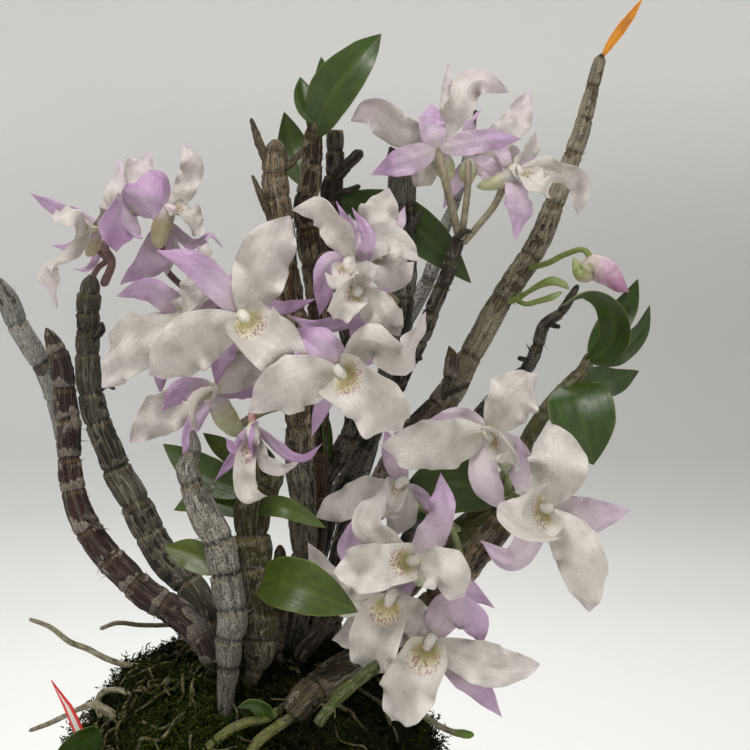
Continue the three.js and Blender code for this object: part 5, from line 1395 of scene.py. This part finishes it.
def bud_tone(share, bumps):
    green = mottled((0.60, 0.66, 0.38), (0.74, 0.75, 0.54), bumps)
    pink = mixed(linear((0.86, 0.75, 0.80)), linear((0.74, 0.52, 0.66)), smooth(0.45, 0.95, share + 0.2 * bumps))
    return mixed(green, pink, smooth(0.2, 0.6, share + 0.2 * bumps))


def green_bud_tone(share, bumps):
    colour = mottled((0.48, 0.56, 0.26), (0.60, 0.66, 0.38), bumps)
    return mixed(colour, linear((0.70, 0.76, 0.52)), smooth(0.6, 1, share))


def bud_stalk_tone(share, bumps):
    return mottled((0.46, 0.52, 0.24), (0.56, 0.60, 0.34), bumps)


def make_buds():
    for seed, (name, limbs) in enumerate(BUDS.items(), 60):
        skin = Skin()
        for k, rows in enumerate(limbs):
            tone = green_bud_tone
            if name == "bud_right_large":
                tone = bud_tone if k == 1 else bud_stalk_tone
            limb(skin, rows, tone, 28, 0.35, seed + k * 2.0, 0.03)
        skin.piece(name + "_fine", PETAL, "bud", name)


def make_low_leaves():
    for seed, (name, (width, turn, places)) in enumerate(LOW_LEAVES.items(), 80):
        skin = Skin()
        blade(skin, "leaf", width, turn, places, LEAF_FACING, leaf_tint(0.0), seed, 30, 14)
        skin.piece(name + "_fine", LEAF, "leaf", name)

# Blooms

WHITE = linear((0.865, 0.84, 0.81))
SHADE = linear((0.73, 0.70, 0.665))
PALE_LILAC = linear((0.865, 0.815, 0.85))
LILAC = linear((0.81, 0.70, 0.81))
DEEP_LILAC = linear((0.735, 0.555, 0.74))


def petal_tint(strength):
    def tint(along, across, crinkle, face_up):
        colour = mixed(WHITE, SHADE, smooth(0.0, 0.7, crinkle) * 0.8)
        blush = strength * smooth(0.3, 1.0, along) + 0.25 * smooth(0.88, 1.0, along)
        colour = mixed(colour, LILAC, np.clip(blush, 0, 0.8))
        glow = np.exp(-((across / 0.3) ** 2)) * smooth(0.35, 0.0, along) * 0.25
        return mixed(colour, linear((0.84, 0.86, 0.70)), glow)

    return tint


def sepal_tint(strength):
    def tint(along, across, crinkle, face_up):
        blush = strength * (0.35 + 0.65 * smooth(0.05, 0.9, along)) + 0.12 * np.abs(across) ** 3
        blush = np.clip(blush + 0.12 * crinkle, 0, 1)
        colour = mixed(PALE_LILAC, LILAC, np.clip(blush * 1.6, 0, 1))
        deep = np.clip(blush * 1.7 - 0.75, 0, 1) * (0.8 if face_up else 1)
        colour = mixed(colour, DEEP_LILAC, deep)
        colour = mixed(colour, WHITE, np.clip(0.75 - strength, 0, 0.6) * smooth(0.9, 0.3, along))
        middle = np.exp(-((across / 0.35) ** 2)) * smooth(0.3, 0.0, along) * 0.4
        return mixed(colour, linear((0.80, 0.82, 0.66)), middle)

    return tint


def lip_tint(strength, throat):
    def tint(along, across, crinkle, face_up):
        colour = mixed(WHITE, SHADE, smooth(0.0, 0.7, crinkle) * 0.6)
        colour = mixed(colour, LILAC, np.clip(strength * smooth(0.75, 1.0, along), 0, 0.7))
        patch = smooth(0.46, 0.22, along + 0.3 * across**2) * smooth(0.8, 0.35, np.abs(across))
        colour = mixed(colour, linear((0.86, 0.84, 0.64)), patch * throat * (0.9 if face_up else 0.45))
        # The darker olive deep in the throat is partly its own colour and partly painted shade in the cupped base
        # of the lip
        deep = smooth(0.34, 0.14, along) * smooth(0.7, 0.25, np.abs(across))
        colour = mixed(colour, linear((0.60, 0.57, 0.32)), deep * throat * 0.8)
        return colour

    return tint


def stem_tone(dark):
    dark = linear(dark)

    def tone(share, bumps):
        return mixed(dark * 0.75, dark * 1.25, smooth(-0.6, 0.7, bumps))

    return tone


def spur_tone(colour):
    colour = linear(colour)

    def tone(share, bumps):
        base = mixed(colour * 0.9, colour * 1.1, smooth(-0.6, 0.7, bumps))
        return mixed(PALE_LILAC, base, smooth(0.0, 0.55, share))

    return tone


def column_tone(share, below):
    colour = mixed(linear((0.95, 0.93, 0.90)), linear((0.84, 0.83, 0.66)), smooth(0.45, 0.95, share))
    colour = mixed(colour, linear((0.88, 0.80, 0.84)), smooth(0.3, 0.22, share) * 0.5)
    # Painted shade: the underside of the column, in its hollow, is darkened to a dark olive
    hollow = below * smooth(0.2, 0.3, share) * smooth(0.8, 0.6, share)
    return mixed(colour, linear((0.46, 0.42, 0.22)), hollow * 0.85)


def make_blooms():
    for number, (name, bloom) in enumerate(BLOOMS.items(), 1):
        look = BLOOM_LOOKS[name]
        facing = np.array(bloom["facing"])
        facing = facing / np.linalg.norm(facing)
        throat = bloom["throat"]
        skin = Skin()
        tints = {
            "sepal": sepal_tint(look["sepal"]),
            "petal": petal_tint(look["petal"]),
            "lip": lip_tint(look["petal"], look["throat"]),
        }
        for k, (kind, width, places) in enumerate(bloom["blades"]):
            cut = (38, 22) if kind == "lip" else (36, 14)
            blade(skin, kind, width, 0, [throat] + places, facing, tints[kind], number * 17 + k, *cut)
        limb(skin, bloom["spur"], spur_tone(look["spur"]), 16, 0.55, number * 2.0, 0.03)
        limb(skin, bloom["stalk"], stem_tone(look["stalk"]), 10, 0.6, number * 3.0, 0.05)
        lips = [places[-1] for kind, width, places in bloom["blades"] if kind == "lip"]
        column(skin, throat, lips[0] if lips else None, facing, number)
        skin.piece(name + "_flower", PETAL, "bloom", name)


def column(skin, throat, lip, facing, seed):
    """The short column that arches over the lip, hollow below and with a small cap at its end"""
    middle = seen(throat)
    up = np.array([0, 0, 1.0]) if lip is None else middle - seen(lip)
    up = up - facing * (facing @ up)
    up = up / np.linalg.norm(up)
    centre = [middle - facing * 1.0 + up * 1.6, middle + facing * 1.9 + up * 1.2]
    centre += [middle + facing * 3.3 - up * 0.7, middle + facing * 3.7 - up * 2.9]
    line = Line(centre, up)
    at = line.length * (1 - (1 - np.linspace(0, 1, 22)) ** 1.3)
    place, _, normal, side, _ = line.frames(at)
    share = at / line.length
    marks = [0, 0.2, 0.55, 0.68, 0.74, 0.8, 0.88, 0.95, 0.985, 1]
    radius = 1.2 * np.interp(share, marks, [0.8, 0.95, 1.1, 1.08, 0.8, 0.94, 0.88, 0.64, 0.4, 0.12])
    sides = 20
    out = ring_ways(sides, normal, side)
    across = np.cross(facing, up)
    flare = across * ((out @ across) * radius[:, None] * 0.3)[..., None]
    points = place[:, None] + out * radius[:, None, None] + flare
    points = points + 0.06 * rough(points * 0.9, 2, seed)[..., None] * out
    grain = capped(points)
    below = smooth(0.3, 0.9, -(out * normal[:, None]).sum(-1))
    points = points + normal[:, None] * (0.5 * below * smooth(0.4, 0.6, share)[:, None])[..., None]
    tones = column_tone(np.broadcast_to(1 - share[:, None], below.shape), below)
    quads, threes = tube_faces(len(at), sides)
    skin.add(capped(points, place[:1], place[-1:]), capped(tones), grain, quads, threes)

# The moss, the pot and the label

MOUND = [(52, 103), (50.5, 109), (45.5, 117), (38.5, 125.5), (31, 130), (22, 133.5), (11, 136), (0, 136.5)]
LUMP = 1.4
SPRIGS = 3300
LEAFLETS = 10
STRANDS = 44


def inner_radius(height):
    body = POT_RIM_RADIUS - RIM_BAND_PROUD
    return POT_FOOT_RADIUS + (body - POT_FOOT_RADIUS) * height / POT_HEIGHT - POT_WALL


def mound_places(angle, share):
    """Places on the mound, share 0 at the pot's rim and 1 at the top, and their outward ways"""

    def surface(angle, share):
        radii = [row[0] for row in MOUND]
        heights = [row[1] for row in MOUND]
        marks = np.linspace(0, 1, len(MOUND))
        radius = np.interp(share, marks, radii)
        height = np.interp(share, marks, heights)
        lump = np.sin(5 * angle + 0.1 * radius) + np.sin(9 * angle - 0.23 * radius + 1.3)
        lump = LUMP / 2 * (lump + np.sin(0.4 * radius + 2 * angle)) * np.minimum(radius / 8, 1)
        reach = radius * (1 + lump / 50)
        lift = height + lump * (1 - radius / 60)
        return np.stack([reach * np.cos(angle), reach * np.sin(angle), lift], -1)

    here = surface(angle, share)
    around = surface(angle + 0.01, share) - surface(angle - 0.01, share)
    upward = surface(angle, np.minimum(share + 0.01, 0.999)) - surface(angle, share - 0.01)
    out = np.cross(around, upward)
    out /= np.linalg.norm(out, axis=-1)[..., None] + 1e-9
    return here, out


def clump(here):
    """How far the moss swells out of the mound's even surface"""
    return rough(here * 0.16, 3, 1.0) * 2.6 + rough(here * 0.5, 2, 5.0) * 0.9 - 0.6


def moss_tone(points, chance):
    """Dark wet moss, with more olive and bright green where the second number is higher, which the sprigs give as
    painted light rising along each sprig, and bright green in patches
    """
    patch = rough(points * 0.07, 3, 3.0)
    fine = rough(points * 0.45, 2, 8.0)
    dark = linear((0.06, 0.07, 0.025))
    olive = linear((0.26, 0.245, 0.12))
    bright = linear((0.26, 0.33, 0.09))
    colour = mixed(dark, olive, np.clip(0.25 + 0.6 * fine + 0.25 * chance, 0, 1))
    near = np.exp(-(((points[..., 0] + 18) / 14) ** 2 + ((points[..., 1] + 42) / 14) ** 2))
    lively = np.clip(smooth(0.15, 0.55, patch) * 0.5 + near * 0.9, 0, 1)
    return mixed(colour, bright, lively * (0.35 + 0.65 * chance))


def make_moss():
    ground = Skin()
    around = 120
    angle = 2 * np.pi * np.arange(around) / around
    side_rows = [(inner_radius(POT_FLOOR) - 1.2, POT_FLOOR + CLEARANCE)]
    side_rows += [(inner_radius(h) - CLEARANCE, h) for h in np.linspace(POT_FLOOR + 1.2, POT_HEIGHT, 12)]
    rings = [np.stack([r * np.cos(angle), r * np.sin(angle), 0 * angle + h], -1) for r, h in side_rows]
    for share in np.linspace(0, 0.985, 46):
        here, out = mound_places(angle, np.full(around, share))
        swell = clump(here) * smooth(0.0, 0.08, share)
        rings.append(here + out * (swell - 0.3)[:, None])
    rings = np.array(rings)
    poles = np.array([[0, 0, POT_FLOOR + CLEARANCE], rings[-1].mean(0)])
    points = np.concatenate([rings.reshape(-1, 3), poles])
    quads, threes = tube_faces(len(rings), around)
    # The ground beneath the sprigs gets a third of the moss colour: painted shade in the gaps between the tufts
    tones = moss_tone(points, 0 * points[:, 0]) * 0.3
    ground.add(points, tones, points, quads, threes)
    ground.piece("moss_ground", MOSS, "moss", "moss_mound")

    chance = np.random.default_rng(5)
    for part in range(2):
        moss = Skin()
        share = chance.uniform(0, 1, SPRIGS) ** 0.8 * 0.985
        turn = chance.uniform(0, 2 * np.pi, SPRIGS)
        here, out = mound_places(turn, share)
        here = here + out * (clump(here) * smooth(0.0, 0.08, share))[:, None]
        sprig_leaflets(moss, here, out, chance)
        moss.piece(f"moss_tufts_{part + 1}", MOSS, "moss", "moss_mound")


def sprig_leaflets(moss, here, out, chance):
    """Each sprig is a bent stem of small pointed leaflets, four faces each"""
    count = len(here)
    lean = chance.normal(0, 1, (count, 3))
    lean -= out * (lean * out).sum(-1)[:, None]
    lean /= np.linalg.norm(lean, axis=1)[:, None]
    size = chance.uniform(2.4, 5.4, count) * (0.8 + 0.4 * (rough(here * 0.12, 2, 2.0) + 1))
    rise = chance.uniform(0.25, 1.0, count)
    points = []
    tones = []
    for k in range(LEAFLETS):
        t = (k + 0.5) / LEAFLETS
        bend = out * (rise * t)[:, None] + lean * (t * (1.1 - 0.3 * rise))[:, None]
        stem = here - out * 0.8 + bend * size[:, None]
        stem = stem - np.array([0, 0, 0.5]) * (t * t * size)[:, None] * 0.35
        fan = chance.normal(0, 1, (count, 3)) * 0.75 + out * 0.3 + lean * 0.9
        fan /= np.linalg.norm(fan, axis=1)[:, None]
        flat = np.cross(fan, chance.normal(0, 1, (count, 3)))
        flat /= np.linalg.norm(flat, axis=1)[:, None]
        third = np.cross(fan, flat)
        length = size * (0.42 - 0.22 * t) * chance.uniform(0.7, 1.3, count)
        wide = 0.2 + 0.06 * length
        tip = stem + fan * length[:, None]
        base = [stem + flat * wide[:, None], stem - flat * wide[:, None], stem + third * 0.18]
        points.append(np.stack(base + [tip], 1))
        # Painted light: leaflets further along a sprig get a higher share, which moss_tone turns into more olive
        # and bright green
        light = np.clip(chance.uniform(-0.1, 0.9, count) * (0.35 + 0.75 * t), 0, 1)
        tone = moss_tone(stem, light)
        # Painted shade at each leaflet's base, at a quarter of its colour, and painted light at its tip, at twice
        # its colour
        tones.append(np.stack([tone * 0.25, tone * 0.25, tone * 0.25, tone * 2.0], 1))
    points = np.concatenate(points)
    tones = np.concatenate(tones)
    cross = np.cross(points[:, 1] - points[:, 0], points[:, 2] - points[:, 0])
    outward = (cross * (points[:, 3] - points[:, 0])).sum(-1) > 0
    points[~outward, :2] = points[~outward, 1::-1]
    face = np.array([[0, 1, 2], [0, 3, 1], [1, 3, 2], [2, 3, 0]])[:, ::-1]
    threes = (face[None] + 4 * np.arange(len(points))[:, None, None]).reshape(-1, 3)
    moss.add(points.reshape(-1, 3), tones.reshape(-1, 3), points.reshape(-1, 3), threes=threes)


def make_strands():
    """Old bare roots that wander over the mound, most of them on the left"""
    chance = np.random.default_rng(21)
    skin = Skin()
    for number in range(STRANDS):
        angle = chance.normal(3.6, 0.6) if number % 3 else chance.uniform(0, 2 * np.pi)
        share = chance.uniform(0.0, 0.75)
        heading = chance.uniform(-1, 1)
        rows = []
        for _ in range(chance.integers(7, 13)):
            here, out = mound_places(np.array([angle]), np.array([np.clip(share, 0.01, 0.95)]))
            rows.append(here[0] + out[0] * chance.uniform(-0.8, 1.9))
            heading += chance.normal(0, 0.5)
            angle += 0.07 * math.cos(heading)
            share += 0.055 * math.sin(heading)
        strand(skin, rows, chance.uniform(0.3, 0.7), number)
    skin.piece("moss_strands", BARK, "root", "moss_mound")


def strand(skin, points, radius, seed):
    line = Line(points, (0, -1, 0.2))
    at = np.linspace(0, line.length, int(line.length / 0.7) + 2)
    place, _, normal, side, _ = line.frames(at)
    sides = 7
    taper = radius * (0.55 + 0.45 * np.sin(np.pi * at / line.length)) * (1 + 0.2 * noise(place * 0.8, seed))
    mesh = place[:, None] + ring_ways(sides, normal, side) * taper[:, None, None]
    bumps = rough(mesh * 0.7, 2, seed)
    tones = capped(mottled((0.22, 0.20, 0.13), (0.50, 0.48, 0.34), bumps, 0.8))
    quads, threes = tube_faces(len(at), sides)
    mesh = capped(mesh, place[:1], place[-1:])
    skin.add(mesh, tones, mesh, quads, threes, (0.2, 0.3, 0.2), np.hstack([tones * 0.5, 0.8 + 0 * tones[:, :1]]))


def make_pot():
    around = 144
    body = POT_RIM_RADIUS - RIM_BAND_PROUD
    band = POT_HEIGHT - RIM_BAND_HEIGHT
    outline = [(0, 0.8), (POT_FOOT_RADIUS - 5, 0.8), (POT_FOOT_RADIUS - 4, 0.0), (POT_FOOT_RADIUS - 1.2, 0.0)]
    outline += [(POT_FOOT_RADIUS - 0.35, 0.35), (POT_FOOT_RADIUS, 1.2)]
    outline += [(POT_FOOT_RADIUS + (body - POT_FOOT_RADIUS) * (h - 1.2) / (band - 3.2), h) for h in
                np.linspace(6, band - 2, 14)]
    outline += [(POT_RIM_RADIUS - 0.5, band - 0.4), (POT_RIM_RADIUS, band + 0.4)]
    outline += [(POT_RIM_RADIUS, h) for h in np.linspace(band + 2, POT_HEIGHT - 1.2, 4)]
    outline += [(POT_RIM_RADIUS - 0.35, POT_HEIGHT - 0.35), (POT_RIM_RADIUS - 1.2, POT_HEIGHT)]
    outline += [(inner_radius(POT_HEIGHT) + 0.8, POT_HEIGHT), (inner_radius(POT_HEIGHT), POT_HEIGHT - 0.8)]
    outline += [(inner_radius(h), h) for h in np.linspace(90, POT_FLOOR, 8)]
    outline += [(0, POT_FLOOR)]
    angle = 2 * np.pi * np.arange(around) / around
    rings = np.array([[[r * math.cos(a), r * math.sin(a), h] for a in angle] for r, h in outline[1:-1]])
    poles = np.array([[0, 0, outline[0][1]], [0, 0, outline[-1][1]]])
    points = np.concatenate([rings.reshape(-1, 3), poles])
    quads, threes = tube_faces(len(rings), around)
    skin = Skin()
    skin.add(points, linear((0.20, 0.21, 0.22)), points, quads, threes)
    pot = skin.piece("pot_fine", GLAZE, "pot", "pot")
    for k in range(3):
        angle = 2 * math.pi * k / 3
        where = (DRAIN_CIRCLE_RADIUS * math.cos(angle) * MM, DRAIN_CIRCLE_RADIUS * math.sin(angle) * MM, 0)
        bpy.ops.mesh.primitive_cylinder_add(vertices=48, radius=DRAIN_RADIUS * MM, depth=0.03, location=where)
        drill = bpy.context.active_object
        hole = pot.modifiers.new("drain", "BOOLEAN")
        hole.operation = "DIFFERENCE"
        hole.solver = "EXACT"
        hole.object = drill
        bpy.context.view_layer.objects.active = pot
        bpy.ops.object.modifier_apply(modifier=hole.name)
        bpy.data.objects.remove(drill)


LABEL = [(51, 680), (72, 706), (98, 752), (84, 754), (63, 706)]
LABEL_DEPTH = -34
LABEL_SINK = 9
LABEL_THICKNESS = 1
LABEL_BORDER = 0.6


def make_label():
    corners = np.array([seen((across, down, LABEL_DEPTH)) for across, down in LABEL])
    corners[2:4] += np.array([0.35, 0, -0.94]) * LABEL_SINK
    middle = corners.mean(0)
    lift = np.array([0, -LABEL_THICKNESS / 2, 0])
    loops = []
    for inset, rise in ((0, -1), (0, 0.6), (0.25, 1), (LABEL_BORDER, 1), (LABEL_BORDER + 0.05, 0.9)):
        ring = []
        for k in range(5):
            before = corners[k] - corners[k - 1]
            after = corners[(k + 1) % 5] - corners[k]
            before = before / np.linalg.norm(before)
            after = after / np.linalg.norm(after)
            bend = after - before
            inward = bend / np.linalg.norm(bend)
            if inward @ (middle - corners[k]) < 0:
                inward = -inward
            sine = max(np.linalg.norm(np.cross(inward, after)), 0.35)
            ring.append(corners[k] + inward * min(inset / sine, 4) + lift * rise)
        loops.append(ring)
    mesh = bpy.data.meshes.new("label_card")
    points = np.array(loops).reshape(-1, 3) * MM
    faces = [[k for k in range(4, -1, -1)]]
    for ring in range(4):
        for k in range(5):
            a = ring * 5 + k
            b = ring * 5 + (k + 1) % 5
            faces.append([a, b, b + 5, a + 5])
    faces.append([20 + k for k in range(5)])
    mesh.from_pydata([tuple(p) for p in points], [], faces)
    mesh.materials.append(LABEL_EDGE)
    mesh.materials.append(LABEL_FACE)
    for k, polygon in enumerate(mesh.polygons):
        polygon.material_index = 1 if k == len(faces) - 1 else 0
    tidy = bmesh.new()
    tidy.from_mesh(mesh)
    bmesh.ops.recalc_face_normals(tidy, faces=tidy.faces)
    tidy.to_mesh(mesh)
    tidy.free()
    shown("label_card", mesh, "label", "plant_label")

# Camera, light and stage


def area_light(name, place, aim, size, power, colour=(1, 1, 1)):
    data = bpy.data.lights.new(name, "AREA")
    data.shape = "RECTANGLE"
    data.size, data.size_y = size
    data.energy = power
    data.color = colour
    light = bpy.data.objects.new(name, data)
    bpy.context.scene.collection.objects.link(light)
    light.location = place
    way = np.array(aim, float) - np.array(place, float)
    light.rotation_euler = (
        math.atan2(math.hypot(way[0], way[1]), -way[2]),
        0,
        math.atan2(way[1], way[0]) - math.pi / 2,
    )


def make_stage():
    scene = bpy.context.scene
    eye = bpy.data.cameras.new("eye")
    eye.sensor_width = 36
    eye.lens = 36 * EYE_DISTANCE / FRAME_WIDTH
    eye.clip_start = 0.01
    camera = bpy.data.objects.new("eye", eye)
    camera.location = (EYE_ACROSS * MM, -EYE_DISTANCE * MM, EYE_HEIGHT * MM)
    camera.rotation_euler = (math.pi / 2, 0, 0)
    scene.collection.objects.link(camera)
    scene.camera = camera

    world = bpy.data.worlds.new("room")
    scene.world = world
    world.use_nodes = True
    air = world.node_tree.nodes["Background"]
    air.inputs["Color"].default_value = (0.80, 0.80, 0.79, 1)
    air.inputs["Strength"].default_value = 0.26

    area_light("key", (-0.35, -0.55, 1.3), (0.03, 0, 0.2), (0.55, 0.45), 15, (1.0, 0.99, 0.975))
    area_light("fill", (0.9, -0.8, 0.5), (0.03, 0, 0.2), (0.8, 0.8), 4)
    area_light("back", (0.3, 0.9, 1.0), (0.03, 0, 0.2), (0.9, 0.5), 5)

    sweep()
    scene.view_settings.view_transform = "Standard"


WALL_RADIUS = 1.5
WALL_HEIGHT = 1.15
WALL_BEND = 0.5
# The grey of the floor and wall by height in metres, as the eye sees it: painted light and shade, near white on the
# floor, greyer low on the wall and paler again higher up
GREYS = [(0.0, 0.97), (0.02, 0.935), (0.06, 0.86), (0.12, 0.81)]
GREYS += [(0.3, 0.82), (0.45, 0.855), (0.6, 0.91), (1.0, 0.93)]


def sweep():
    """A pale floor that turns up into a round wall on every side, so no view shows its edge"""
    flat = WALL_RADIUS - WALL_BEND
    profile = [(0.4, 0.0), (flat, 0.0)]
    for k in range(1, 16):
        bend = math.pi / 2 * k / 16
        profile.append((flat + WALL_BEND * math.sin(bend), WALL_BEND - WALL_BEND * math.cos(bend)))
    profile += [(WALL_RADIUS, WALL_BEND), (WALL_RADIUS, WALL_HEIGHT)]
    around = 128
    turns = [2 * math.pi * k / around for k in range(around)]
    points = [(r * math.cos(a), r * math.sin(a), z) for r, z in profile for a in turns] + [(0, 0, 0)]
    faces = [[len(points) - 1, k, (k + 1) % around] for k in range(around)]
    for row in range(len(profile) - 1):
        for k in range(around):
            a, b = row * around + k, row * around + (k + 1) % around
            faces.append([a, a + around, b + around, b])
    mesh = bpy.data.meshes.new("sweep")
    mesh.from_pydata(points, [], faces)
    for polygon in mesh.polygons:
        polygon.use_smooth = True
    n = Nodes("sweep")
    place = n.add("ShaderNodeTexCoord").outputs["Object"]
    across, _, height = n.add("ShaderNodeSeparateXYZ", {0: place}).outputs
    cloth_and_shade = n.noise(place, 2.0, 2.0)
    ramp = n.add("ShaderNodeValToRGB", {0: n.ramp(height, 0.0, 1.0)})
    ramp.color_ramp.elements[0].position = 0.0
    ramp.color_ramp.elements[1].position = 1.0
    for position, _ in GREYS[1:-1]:
        ramp.color_ramp.elements.new(position)
    for element, (_, value) in zip(ramp.color_ramp.elements, GREYS):
        grey = value**GAMMA
        element.color = (grey, grey * 0.995, grey * 0.975, 1)
    # Painted shade on the right, towards +x: the floor and low wall are darkened by up to a fifth, fading out by
    # 0.6 m up
    painted_side_shade = n.math("MULTIPLY", n.ramp(across, -0.1, 0.5), n.ramp(height, 0.25, 0.6, 0.2, 0.0))
    cloth_and_shade = n.math("SUBTRACT", n.ramp(cloth_and_shade, 0.3, 0.7, 0.99, 1.01), painted_side_shade)
    colour = n.shaded(ramp.outputs[0], cloth_and_shade)
    mesh.materials.append(n.surface(n.add("ShaderNodeBsdfDiffuse", {"Color": colour}).outputs[0]))
    stage = bpy.data.objects.new("sweep", mesh)
    bpy.context.scene.collection.objects.link(stage)


make_stage()
make_canes()
make_blooms()
make_buds()
make_roots()
make_low_leaves()
make_moss()
make_strands()
make_pot()
make_label()
